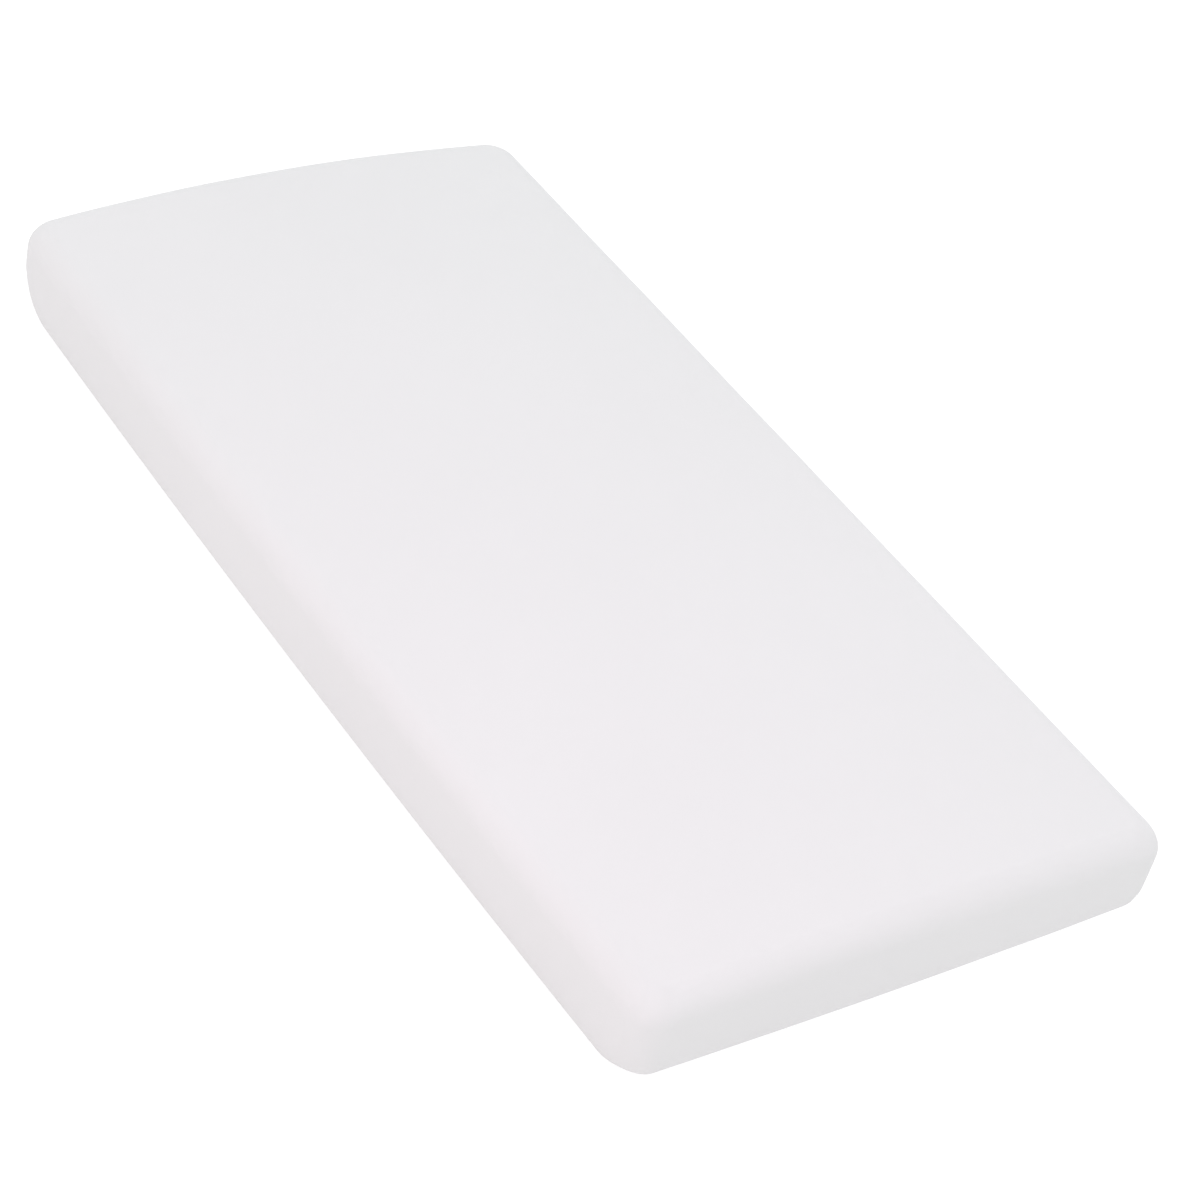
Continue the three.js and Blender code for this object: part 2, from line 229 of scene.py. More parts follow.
def rounded_ring(half_width, half_length, radius, cells):
    """A rounded rectangle, counterclockwise from the middle of its +X +Y corner, and the
    direction in which each of its points faces."""
    across, along, corner_steps = cells
    corners = []
    for quarter in range(4):
        turns = (quarter + np.linspace(0, 1, corner_steps + 1)) * QUARTER
        middle_x = (half_width - radius) * (1 if quarter in (0, 3) else -1)
        middle_y = (half_length - radius) * (1 if quarter < 2 else -1)
        round_corner = np.stack([np.cos(turns), np.sin(turns)], 1) * radius
        corners.append((round_corner + (middle_x, middle_y), turns))
    points = []
    headings = []
    for quarter, (xy, turns) in enumerate(corners):
        straight = along if quarter % 2 else across
        run = corners[(quarter + 1) % 4][0][0] - xy[-1]
        steps = np.arange(1, straight)[:, None] / straight
        points += [xy, xy[-1] + run * steps]
        headings += [turns, np.full(straight - 1, turns[-1])]
    # Quarter 0 ends at the +Y end, so its straight run crosses the width.
    shift = -(corner_steps // 2)
    return np.roll(np.concatenate(points), shift, 0), np.roll(np.concatenate(headings), shift)


def wall_ring(row, cells):
    """One level of the wall before it is swollen."""
    side_in, side_up, end_in, end_up = row
    radius = max(CORNER_RADIUS - min(side_in, end_in) / 2, SMALLEST_CORNER)
    xy, headings = rounded_ring(HALF_WIDTH - side_in, HALF_LENGTH - end_in, radius, cells)
    to_end = np.sin(headings) ** 2
    heights = side_up * (1 - to_end) + end_up * to_end
    return np.column_stack([xy, heights])


def wall_rings(inset, shares, edge_steps, cells):
    return np.array([wall_ring(row, cells) for row in wall_rows(inset, shares, edge_steps)])


def at_height(rings, height):
    """The level cut through the walls at one height."""
    cut = rings[0].copy()
    for i in range(len(cut)):
        column = rings[:, i]
        cut[i, 0] = np.interp(height, column[:, 2], column[:, 0])
        cut[i, 1] = np.interp(height, column[:, 2], column[:, 1])
    cut[:, 2] = height
    return cut


def cap_sides(cells):
    """How many edges a ring has on its ends and on its long sides, corners shared out."""
    across, along, corner_steps = cells
    return across + corner_steps, along + corner_steps


def border_order(cells):
    """Which ring points lie along the +Y, -Y, -X and +X borders of the grid that fills it."""
    across, along = cap_sides(cells)
    count = 2 * (across + along)
    plus_y = across - np.arange(across + 1)
    minus_y = across + along + np.arange(across + 1)
    minus_x = across + along - np.arange(along + 1)
    plus_x = (2 * across + along + np.arange(along + 1)) % count
    return plus_y, minus_y, minus_x, plus_x


def cap_points(ring, cells):
    """The inner points of the grid that fills a ring."""
    across, along = cap_sides(cells)
    plus_y, minus_y, minus_x, plus_x = (ring[order] for order in border_order(cells))
    u = np.linspace(0, 1, across + 1)[:, None, None]
    v = np.linspace(0, 1, along + 1)[None, :, None]
    grid = (1 - v) * minus_y[:, None] + v * plus_y[:, None]
    grid = grid + (1 - u) * minus_x[None] + u * plus_x[None]
    grid -= (1 - u) * (1 - v) * minus_y[0] + u * (1 - v) * minus_y[-1]
    grid -= (1 - u) * v * plus_y[0] + u * v * plus_y[-1]
    return grid[1:-1, 1:-1].reshape(-1, 3)


def cap_grid(ring_start, inner_start, cells):
    """The vertex numbers of that grid, with the ring as its border."""
    across, along = cap_sides(cells)
    plus_y, minus_y, minus_x, plus_x = border_order(cells)
    grid = np.empty((across + 1, along + 1), int)
    inner = np.arange((across - 1) * (along - 1)).reshape(across - 1, along - 1)
    grid[1:-1, 1:-1] = inner_start + inner
    grid[:, along] = ring_start + plus_y
    grid[:, 0] = ring_start + minus_y
    grid[0, :] = ring_start + minus_x
    grid[across, :] = ring_start + plus_x
    return grid


def stack(rings, cells, bottom=False):
    """The points and faces of a tower of rings with a filled top, and a filled bottom too
    if asked for."""
    count = rings.shape[1]
    wall = np.arange(rings.shape[0] * count).reshape(-1, count)
    wall = np.hstack([wall, wall[:, :1]])
    points = [rings.reshape(-1, 3), cap_points(rings[-1], cells)]
    top_start = rings.shape[0] * count
    top = cap_grid(wall[-1, 0], top_start, cells)
    faces = {"wall": quads(wall, flip=True), "top": quads(top), "bottom": []}
    if bottom:
        points.append(cap_points(rings[0], cells))
        base = cap_grid(0, top_start + len(points[1]), cells)
        faces["bottom"] = quads(base, flip=True)
    return np.concatenate(points), faces


def swollen_stack(plain_rings, cells, bottom=False, below=None):
    """The rings, points and faces of a tower of plain rings after it has swollen. The
    filled ends swell as the rings do. More rings may be put below the swollen ones."""
    rings = swell(plain_rings)
    if below is not None:
        rings = np.concatenate([below(rings[0], cells), rings])
    points, faces = stack(rings, cells, bottom)
    ends = [plain_rings[-1], plain_rings[0]] if bottom else [plain_rings[-1]]
    inner = np.concatenate([cap_points(ring, cells) for ring in ends])
    points[rings.shape[0] * rings.shape[1]:] = swell(inner)
    return rings, points, faces


def travelled(ring):
    """How far each point of a ring is from its first, along the ring and all the way
    round."""
    steps = np.linalg.norm(np.roll(ring, -1, 0) - ring, axis=1)
    return np.concatenate([[0], steps.cumsum()])


def unrolled(rings, wall_faces, cells):
    """Where each corner of each wall face lies on the flat cloth: the walls folded out,
    with a mitre at each corner of the mattress."""
    across, along = cap_sides(cells)
    count = rings.shape[1]
    sides = [across, along, across, along]
    outwards = np.repeat([(0, 1), (-1, 0), (0, -1), (1, 0)], sides, axis=0)
    forwards = np.repeat([(-1, 0), (0, -1), (1, 0), (0, 1)], sides, axis=0)
    starts = np.repeat(np.cumsum([0] + sides[:3]), sides)
    round_widest = travelled(rings[np.argmax(rings[:, 0, 0])])
    drops = np.linalg.norm(np.diff(rings, axis=0), axis=2)[::-1].cumsum(0)[::-1]
    drops = np.vstack([drops, np.zeros(count)])
    faces = np.array(wall_faces)
    rows, columns = faces // count, faces % count
    first = (np.arange(len(faces)) % count)[:, None]
    ahead = round_widest[first + (columns != first)] - round_widest[starts[first]]
    corner = rings[-1][starts[first]][..., :2]
    run = ahead[..., None] * forwards[first]
    return corner + run + drops[rows, columns][..., None] * outwards[first]


# --- The +X wall and the zip's frame ---

NUDGE = 0.5 * MM  # over which the wall's lean is taken


def wall_point(height, out=0.0):
    """X and Z of the +X wall at a height, moved out of the wall, and the wall's lean."""
    lean_in = tucked(height - NUDGE, 0, SIDE_TUCK_IN, SIDE_TUCK_UP)
    lean_out = tucked(height + NUDGE, 0, SIDE_TUCK_IN, SIDE_TUCK_UP)
    lean = math.atan2(lean_in - lean_out, 2 * NUDGE)
    x = WIDTH / 2 - tucked(height, 0, SIDE_TUCK_IN, SIDE_TUCK_UP)
    return x + out * math.cos(lean), height - out * math.sin(lean), lean


def zip_matrix():
    """The zip's frame, on the flat facet that the CAD wall has between two levels."""
    turns = [QUARTER * (ZIP_LEVEL + step) / TUCK_STEPS for step in (0, 1)]
    lower, upper = (
        (SIDE_TUCK_IN * (1 - math.sin(turn)), SIDE_TUCK_UP * (1 - math.cos(turn)))
        for turn in turns
    )
    lean = math.atan2(lower[0] - upper[0], upper[1] - lower[1])
    out = Vector((math.cos(lean), 0, -math.sin(lean)))
    middle = Vector((WIDTH / 2 - (lower[0] + upper[0]) / 2, 0, (lower[1] + upper[1]) / 2))
    place = Matrix.Translation(middle - out * ZIP_SINK)
    return place @ Matrix.Rotation(lean, 4, "Y")


# Gives a piece its material, the CAD nodes it stands for and its body. The slot is not used.
ZIP = zip_matrix()
ZIP_HEIGHT = ZIP.translation.z
ZIP_LEAN = ZIP.to_euler().y


def zip_points(local):
    """Points of the zip's frame, given as rows of out, along and up."""
    turn = np.array(ZIP.to_3x3())
    return np.asarray(local) @ turn.T + np.array(ZIP.translation)


def into_wall(piece, along=0.0, out=0.0):
    """Takes a piece that is drawn in the zip's frame to its place on the wall."""
    piece.data.transform(ZIP @ Matrix.Translation((out, along, 0)))
    return piece


# --- Materials ---


class Shader:
    """A material under construction: short ways to add and link its nodes."""

    def __init__(self, name, roughness, **uniform):
        self.material = bpy.data.materials.new(name)
        self.material.use_nodes = True
        self.tree = self.material.node_tree
        self.surface = self.tree.nodes["Principled BSDF"]
        self.surface.inputs["Roughness"].default_value = roughness
        for socket, value in uniform.items():
            self.surface.inputs[socket.replace("_", " ")].default_value = value

    def put(self, socket, value):
        if isinstance(value, bpy.types.NodeSocket):
            self.tree.links.new(value, socket)
        else:
            socket.default_value = value

    def node(self, kind, inputs=None, **settings):
        made = self.tree.nodes.new("ShaderNode" + kind)
        for key, value in settings.items():
            setattr(made, key, value)
        for key, value in (inputs or {}).items():
            self.put(made.inputs[key], value)
        return made

    def maths(self, operation, a, b=0.0):
        made = self.node("Math", operation=operation)
        self.put(made.inputs[0], a)
        self.put(made.inputs[1], b)
        return made.outputs[0]

    def place(self):
        """The object's own coordinates, in metres."""
        return self.node("TexCoord").outputs["Object"]

    def cloth_place(self):
        """The place on the flat cloth, in metres."""
        made = self.node("UVMap", uv_map="fabric")
        parts = self.node("SeparateXYZ", {"Vector": made.outputs["UV"]})
        return parts.outputs["X"], parts.outputs["Y"]

    def noise(self, size, detail=3.0):
        """A cloudy value round one half, with clouds of about this size."""
        inputs = {"Vector": self.place(), "Scale": 1 / size, "Detail": detail}
        return self.node("TexNoise", inputs).outputs["Fac"]

    def cells(self, size):
        """How far each place is from the middle of its foam cell, in cells."""
        inputs = {"Vector": self.place(), "Scale": 1 / size}
        return self.node("TexVoronoi", inputs).outputs["Distance"]

    def wave(self, value, pitch):
        """A wave from 0 to 1 that repeats at this pitch."""
        turn = self.maths("MULTIPLY", value, FULL_TURN / pitch)
        swing = self.maths("MULTIPLY", self.maths("SINE", turn), 0.5)
        return self.maths("ADD", swing, 0.5)

    def blend(self, factor, low, high, low_at=0.35, high_at=0.65):
        """A colour between two, as a value goes from one level to another."""
        ramp = self.node("ValToRGB", {"Fac": factor})
        ramp.color_ramp.elements[0].position = low_at
        ramp.color_ramp.elements[0].color = (*low, 1)
        ramp.color_ramp.elements[1].position = high_at
        ramp.color_ramp.elements[1].color = (*high, 1)
        return ramp.outputs["Color"]

    def multiply(self, first, second):
        made = self.node("Mix", data_type="RGBA", blend_type="MULTIPLY")
        made.inputs["Factor"].default_value = 1.0
        self.put(made.inputs["A"], first)
        self.put(made.inputs["B"], second)
        return made.outputs["Result"]

    def shaded(self, colour, value, darkest, *levels):
        """A colour that goes darker where a value is low."""
        return self.multiply(colour, self.blend(value, (darkest,) * 3, (1.0,) * 3, *levels))

    def colour(self, value):
        self.put(self.surface.inputs["Base Color"], value)

    def bumps(self, height, depth):
        """Relief of this depth in metres, on top of any made before."""
        made = self.node("Bump", {"Height": height, "Distance": depth, "Strength": 1.0})
        before = self.surface.inputs["Normal"].links
        if before:
            self.put(made.inputs["Normal"], before[0].from_socket)
        self.put(self.surface.inputs["Normal"], made.outputs["Normal"])


def jersey_relief(shader, wale, course):
    """A knit: columns of small slanted loops."""
    u, v = shader.cloth_place()
    column = shader.maths("FRACT", shader.maths("DIVIDE", u, wale))
    from_spine = shader.maths("ABSOLUTE", shader.maths("SUBTRACT", column, 0.5))
    legs = shader.wave(shader.maths("ADD", from_spine, 0.25), 0.5)
    slant = shader.maths("MULTIPLY", from_spine, wale)
    loops = shader.wave(shader.maths("ADD", v, slant), course)
    return shader.maths("MULTIPLY", legs, shader.maths("ADD", loops, 0.6))


def weave_relief(shader, pitch):
    """A plain weave: threads over and under in turn."""
    u, v = shader.cloth_place()
    over = shader.maths("SINE", shader.maths("MULTIPLY", u, math.pi / pitch))
    under = shader.maths("SINE", shader.maths("MULTIPLY", v, math.pi / pitch))
    crossing = shader.maths("MULTIPLY", shader.maths("MULTIPLY", over, under), 0.5)
    return shader.maths("ADD", crossing, 0.5)


def twill_relief(shader, pitch):
    """A twill: diagonal ribs made of short threads."""
    u, v = shader.cloth_place()
    ribs = shader.wave(shader.maths("ADD", u, v), pitch)
    threads = shader.wave(v, pitch / 2)
    return shader.maths("ADD", ribs, shader.maths("MULTIPLY", threads, 0.3))


def satin_relief(shader, pitch):
    """A satin: long floating threads, a little aslant."""
    u, v = shader.cloth_place()
    return shader.wave(shader.maths("ADD", v, shader.maths("MULTIPLY", u, 0.15)), pitch)


def ply_relief(shader, pitch):
    """A thread: plies that wind round it."""
    parts = shader.node("SeparateXYZ", {"Vector": shader.place()}).outputs
    slope = shader.maths("ADD", parts["Y"], parts["Z"])
    return shader.wave(shader.maths("ADD", slope, parts["X"]), pitch)


# Clouds are a size and two colours. The painted hollow shade is the darkest colour painted into
# the relief's hollows as shade, and the levels of the relief between which it fades. Lint is the
# size of a second, finer cloudiness.
CLOTHS = {
    "white_stretch_knit": dict(
        surface=dict(roughness=0.92, Sheen_Weight=0.12, Sheen_Roughness=0.6),
        clouds=(0.35, (0.692, 0.679, 0.688), (0.698, 0.685, 0.694)),
        lint=0.9 * MM,
        relief=(jersey_relief, 1.25 * MM, 0.95 * MM),
        painted_hollow_shade=(0.965, 0.1, 0.7),
        depth=0.10 * MM,
    ),
    "grey_white_woven_cloth": dict(
        surface=dict(roughness=0.85, Sheen_Weight=0.08),
        clouds=(0.2, (0.60, 0.60, 0.62), (0.63, 0.63, 0.645)),
        relief=(weave_relief, 0.8 * MM),
        painted_hollow_shade=(0.86, 0.2, 0.8),
        depth=0.15 * MM,
    ),
    "white_woven_zip_tape": dict(
        surface=dict(roughness=0.75, Sheen_Weight=0.1),
        clouds=(12 * MM, (0.66, 0.66, 0.67), (0.70, 0.70, 0.71)),
        relief=(twill_relief, 1.1 * MM),
        painted_hollow_shade=(0.84, 0.2, 1.1),
        depth=0.12 * MM,
    ),
    "white_label_satin": dict(
        surface=dict(roughness=0.38, Sheen_Weight=0.3, Anisotropic=0.5),
        clouds=(30 * MM, (0.755, 0.755, 0.76), (0.765, 0.765, 0.77)),
        relief=(satin_relief, 0.45 * MM),
        painted_hollow_shade=(0.90, 0.0, 0.8),
        depth=0.05 * MM,
    ),
    "white_sewing_thread": dict(
        surface=dict(roughness=0.55, Sheen_Weight=0.2),
        clouds=(4 * MM, (0.69, 0.69, 0.70), (0.74, 0.74, 0.75)),
        relief=(ply_relief, 0.32 * MM),
        painted_hollow_shade=(0.85, 0.1, 0.9),
        depth=0.04 * MM,
    ),
    "fire_barrier_jersey": dict(
        surface=dict(roughness=0.95, Sheen_Weight=0.15),
        clouds=(0.12, (0.62, 0.61, 0.57), (0.67, 0.65, 0.61)),
        relief=(jersey_relief, 2.2 * MM, 1.7 * MM),
        painted_hollow_shade=(0.80, 0.1, 0.8),
        depth=0.25 * MM,
    ),
}
LINT_SHADE = 0.975

# The darkest and the lightest colour, the size of a cell and how deep it looks.
FOAMS = {
    "support_foam": ((0.60, 0.61, 0.65), (0.66, 0.67, 0.70), 1.1 * MM, 0.5 * MM),
    "airflow_foam": ((0.44, 0.60, 0.70), (0.50, 0.65, 0.74), 1.6 * MM, 0.7 * MM),
    "memory_foam": ((0.78, 0.72, 0.55), (0.84, 0.78, 0.62), 0.7 * MM, 0.25 * MM),
}
FOAM_CLOUDS = 80 * MM
LARGE_CELLS = 4  # how many times as wide as the others


def cloth_material(name):
    """A cloth with faint clouds of colour and a relief, with painted shade that darkens the
    colour in its hollows.
    """
    cloth = CLOTHS[name]
    shader = Shader(name, **cloth["surface"])
    size, low, high = cloth["clouds"]
    colour = shader.blend(shader.noise(size), low, high)
    if "lint" in cloth:
        colour = shader.shaded(colour, shader.noise(cloth["lint"]), LINT_SHADE)
    make_relief, *sizes = cloth["relief"]
    relief = make_relief(shader, *sizes)
    # Painted shade: the colour goes darker where the relief is low, in its hollows.
    shader.colour(shader.shaded(colour, relief, *cloth["painted_hollow_shade"]))
    shader.bumps(relief, cloth["depth"])
    return shader.material


def foam_material(name):
    """Cut foam: open cells of one size, a few larger, with painted shade in each cell's pit, and
    cloudy colour.
    """
    low, high, cell, depth = FOAMS[name]
    shader = Shader(name, roughness=0.97)
    cells = shader.cells(cell)
    large = shader.cells(cell * LARGE_CELLS)
    clouds = shader.blend(shader.noise(FOAM_CLOUDS), low, high)
    # Painted shade: the colour goes darker towards the middle of each cell, small and large,
    # where its pit lies.
    colour = shader.shaded(clouds, cells, 0.82, 0.05, 0.45)
    shader.colour(shader.shaded(colour, large, 0.90, 0.03, 0.12))
    shader.bumps(cells, depth)
    shader.bumps(large, depth * 0.6)
    return shader.material


def coil_material():
    shader = Shader("white_nylon_coil", 0.36, Coat_Weight=0.15, Subsurface_Weight=0.05)
    shader.colour(shader.blend(shader.noise(3 * MM), (0.70, 0.70, 0.70), (0.75, 0.75, 0.75)))
    shader.bumps(shader.noise(0.25 * MM), 0.01 * MM)
    return shader.material


def enamel_material():
    """White enamel on zinc, worn a little where edges stand proud."""
    shader = Shader("white_enamelled_zinc", 0.3, Coat_Weight=0.4, Coat_Roughness=0.15)
    edges = shader.node("NewGeometry").outputs["Pointiness"]
    rubbed = shader.maths("ADD", edges, shader.maths("MULTIPLY", shader.noise(0.8 * MM), 0.12))
    paint = shader.blend(shader.noise(5 * MM), (0.72, 0.72, 0.72), (0.76, 0.76, 0.76))
    wear = shader.blend(rubbed, (1.0, 1.0, 1.0), (0.72, 0.71, 0.70), 0.66, 0.74)
    shader.colour(shader.multiply(paint, wear))
    shader.bumps(shader.noise(0.5 * MM), 0.015 * MM)
    return shader.material


# --- Filling out a cover by cloth simulation ---

SIM_FRAMES = 20
SIM_START = 2.5 * MM  # how much smaller than its form the cloth starts
SIM_CAP = 5 * MM  # how far it may move
SIM_NEIGHBOURS = 4  # cloth points that each point of the finer cover follows
SIM_SOFTNESS = 1 * MM  # nearer than this, they count about the same


def inflate(cloth, pinned):
    """Blows a cloth up against its pinned border and leaves the result in its mesh."""
    group = cloth.vertex_groups.new(name="pinned")
    group.add([int(i) for i in pinned], 1.0, "REPLACE")
    settings = cloth.modifiers.new("Cloth", "CLOTH").settings
    settings.quality = 5
    settings.mass = 0.3
    settings.tension_stiffness = 30
    settings.compression_stiffness = 30
    settings.shear_stiffness = 10
    settings.bending_stiffness = 2
    settings.use_pressure = True
    settings.uniform_pressure_force = 4
    settings.vertex_group_mass = "pinned"
    settings.effector_weights.gravity = 0
    cloth.modifiers["Cloth"].point_cache.frame_end = SIM_FRAMES
    scene = bpy.context.scene
    for number in range(1, SIM_FRAMES + 1):
        scene.frame_set(number)
    apply_modifiers(cloth)
    scene.frame_set(1)


def capped(moves, cap):
    """Moves made shorter, so that none is longer than the cap."""
    lengths = np.linalg.norm(moves, axis=1, keepdims=True) + 1e-12
    return moves / lengths * cap * np.tanh(lengths / cap)


def spread(known, moves, wanted):
    """The moves at other points, from those of the nearest known ones."""
    tree = KDTree(len(known))
    for number, point in enumerate(known):
        tree.insert(point, number)
    tree.balance()
    result = np.zeros((len(wanted), 3))
    for number, point in enumerate(wanted):
        near = tree.find_n(point, SIM_NEIGHBOURS)
        weights = np.array([1 / (distance + SIM_SOFTNESS) for _, _, distance in near])
        found = moves[[which for _, which, _ in near]]
        result[number] = (weights[:, None] * found).sum(0) / weights.sum()
    return result


def filled_out(points):
    """How the filled cover moves from its drawn form, at each of these points."""
    plain = wall_rings(SIM_START, np.linspace(0, 1, 9), edge_steps=3, cells=MEDIUM)
    rings, start, faces = swollen_stack(plain, MEDIUM)
    cloth = make_piece("filled_cover", start, faces["wall"] + faces["top"])
    inflate(cloth, range(rings.shape[1]))
    moves = capped(vectors(cloth.data.vertices, "co") - start, SIM_CAP)
    bpy.data.objects.remove(cloth)
    return spread(start, moves, points)


# --- The cover ---

# Rows close to the zip, as distances up and down the wall from its middle, with the share
# of the cover's thickness that is left at each, and how far the cloth sinks there.
LIP_ROWS = np.array([9.5, 9.9, 10.6, 11.5, 12.4, 14, 16]) * MM
LIP_THICKNESS = (0.10, 0.2, 0.24, 0.24, 0.24, 0.5, 1.0)
LIP_SINK = np.array([0.35, 0.10, 0.0, 0.20, 0.0, 0.0, 0.0]) * MM
SLIT_ROWS = np.array([-4.75, 0, 4.75]) * MM
SLIT_CELLS = 2  # cells of the straight run beyond each end of the slit
LOW_ROWS_TURN = math.radians(31)  # where the even rows under the zip end
HIGH_ROWS_START = 66 * MM  # where those over the zip begin
UNDERSIDE_STEPS = 3
UNEVENNESS = ((0.45 * MM, 0.38, 11), (0.25 * MM, 0.13, 12))  # depth, size and seed
FLOOR_FADE = 30 * MM  # the cover is plainer below this height
ZIP_STRIP = (18 * MM, 20 * MM)  # the strip's half height, and how it fades beyond that
ZIP_STRIP_HALF = 930 * MM  # its half length
ZIP_STRIP_DEPTH = 40 * MM  # from the +X side inwards


def cover_heights():
    """The heights of the wall's rows on the long sides, close together at the zip."""
    around_zip = np.concatenate([-LIP_ROWS[::-1], SLIT_ROWS, LIP_ROWS])
    zip_rows = ZIP_HEIGHT + around_zip * math.cos(ZIP_LEAN)
    low = SIDE_TUCK_UP * (1 - np.cos(np.linspace(0, LOW_ROWS_TURN, 7)))
    high = np.linspace(HIGH_ROWS_START, SIDE_TUCK_UP, 9)
    return np.concatenate([low, zip_rows, high]), len(low)


def base_ring(out, cells):
    """The base panel's outline let out by some distance, where it lies on the mattress."""
    size = (BASE_HALF_WIDTH + out, BASE_HALF_LENGTH + out, BASE_CORNER + out)
    ring, _ = rounded_ring(*size, cells)
    return ring + (SIDE_BOW / 2, 0)


def underside_rings(first, cells):
    """Rings from the opening for the base panel out to where the wall begins."""
    opening = base_ring(COVER_OPENING, cells)
    shares = np.arange(UNDERSIDE_STEPS)[:, None, None] / UNDERSIDE_STEPS
    rim = np.column_stack([opening, np.zeros(len(opening))])
    return rim[None] * (1 - shares) + first[None] * shares


def zip_columns(cells):
    """The ring points of the +X side between the slit's ends."""
    across, along, corner_steps = cells
    sides = cap_sides(cells)
    start = 2 * sides[0] + sides[1] + corner_steps // 2
    return np.arange(start + SLIT_CELLS, start + along - SLIT_CELLS + 1)


def outside_slit(face_count, low_row, high_row, columns, count):
    """Which wall faces are left when those in the slit are taken out."""
    kept = np.ones(face_count, bool)
    rows = np.arange(low_row, high_row)[:, None]
    kept[rows * count + columns[:-1]] = False
    return kept


def thickness_weights(piece, low_row, high_row, columns, count):
    """A vertex group that thins the cover towards the slit."""
    weights = np.ones(len(piece.data.vertices))
    reach = np.concatenate([[columns[0] - 1], columns, [columns[-1] + 1]])
    for step, share in enumerate(LIP_THICKNESS):
        weights[(low_row - step) * count + reach] = share
        weights[(high_row + step) * count + reach] = share
    for row in range(low_row + 1, high_row):
        weights[row * count + reach] = LIP_THICKNESS[0]
    group = piece.vertex_groups.new(name="thickness")
    for share in np.unique(weights):
        group.add(np.flatnonzero(weights == share).tolist(), float(share), "REPLACE")


def off_floor(points):
    """0 at the floor, rising to 1."""
    return np.clip(points[:, 2] / FLOOR_FADE, 0, 1)


def cloth_relief(points, low_row, high_row, columns, count):
    """How far each point of the cover stands out: broad unevenness and the sewn lips."""
    relief = sum(depth * waves(points, size, seed) for depth, size, seed in UNEVENNESS)
    relief *= off_floor(points)
    for step, sink in enumerate(LIP_SINK):
        for row in (low_row - step, high_row + step):
            relief[row * count + columns] = -sink
    return relief


def near_zip(points):
    """1 on the strip of wall that the zip is sewn into, fading to 0 round it."""
    half_height, fade = ZIP_STRIP
    beyond = np.abs(points[:, 2] - ZIP_HEIGHT) - half_height
    on_side = points[:, 0] > WIDTH / 2 - ZIP_STRIP_DEPTH
    on_strip = on_side & (np.abs(points[:, 1]) < ZIP_STRIP_HALF)
    return np.where(on_strip, np.clip(1 - beyond / fade, 0, 1), 0.0)


def fullness(points, normals):
    """How far the simulated cover stands out at each point, away from zip and floor."""
    held = np.maximum(near_zip(points), 1 - off_floor(points))
    outwards = (filled_out(points) * normals).sum(1) - SIM_START
    return np.clip(outwards, 0, SIM_CAP - SIM_START) * (1 - held)


def knit_cover():
    heights, zip_start = cover_heights()
    plain = wall_rings(0, heights / SIDE_TUCK_UP, edge_steps=8, cells=FINE)
    rings, points, faces = swollen_stack(plain, FINE, below=underside_rings)
    low_row = UNDERSIDE_STEPS + zip_start + len(LIP_ROWS) - 1
    high_row = low_row + len(SLIT_ROWS) + 1
    slit = (low_row, high_row, zip_columns(FINE), rings.shape[1])
    kept = outside_slit(len(faces["wall"]), *slit)
    walls_flat = unrolled(rings, faces["wall"], FINE)[kept]
    top_flat = points[np.array(faces["top"])][..., :2]
    wall_faces = np.array(faces["wall"])[kept].tolist()
    cover = make_piece("knit_cover", points, wall_faces + faces["top"])
    lay_flat(cover, np.concatenate([walls_flat, top_flat]))
    normals = vectors(cover.data.vertex_normals, "vector")
    relief = cloth_relief(points, *slit)
    relief += fullness(points, normals)
    move_points(cover, points + normals * relief[:, None])
    thickness_weights(cover, *slit)
    thicken(cover, COVER_THICK, "thickness")
    return cover


# --- The base panel and its seam ---

BASE_EDGE = ((0.5, 0.25), (0.1, 0.6), (0.0, 1.2), (0.1, 1.8), (0.5, 2.15))  # in and up, in mm
BASE_UNEVENNESS = (0.12 * MM, 0.2, 21)  # depth, size and seed
BASE_BORDER = 20 * MM  # this far from its long edges the panel is flat
SEAM_SIDES = 8
SEAM_STEP = 8 * MM
LOOP_STEP = 4 * MM
LOOP_SLANT = 0.5


def base_panel():
    """The flat woven panel under the mattress, with pressed, rounded edges."""
    rings = []
    for inwards, height in BASE_EDGE:
        ring = base_ring(-inwards * MM, MEDIUM)
        rings.append(np.column_stack([ring, np.full(len(ring), height * MM)]))
    points, faces = stack(np.array(rings), MEDIUM, bottom=True)
    inside = np.abs(points[:, 0]) < BASE_HALF_WIDTH - BASE_BORDER
    upper = inside & (points[:, 2] > MM)
    depth, size, seed = BASE_UNEVENNESS
    points[upper, 2] += depth * waves(points[upper], size, seed)
    joined = faces["wall"] + faces["top"] + faces["bottom"]
    return make_piece("woven_base_panel", points, joined, points[:, :2])


def seam_path(pitch):
    """Evenly spaced places along the seam's middle, with the way along and the way out."""
    ring = base_ring(SEAM_MIDDLE, FINE)
    distances = travelled(ring)
    places = np.linspace(0, distances[-1], int(distances[-1] / pitch), endpoint=False)
    closed = np.vstack([ring, ring[:1]])
    x = np.interp(places, distances, closed[:, 0])
    y = np.interp(places, distances, closed[:, 1])
    at = np.column_stack([x, y, np.full(len(x), SEAM_MIDDLE)])
    along = unit(np.roll(at, -1, 0) - np.roll(at, 1, 0))
    outwards = np.column_stack([along[:, 1], -along[:, 0], np.zeros(len(at))])
    return at, along, outwards


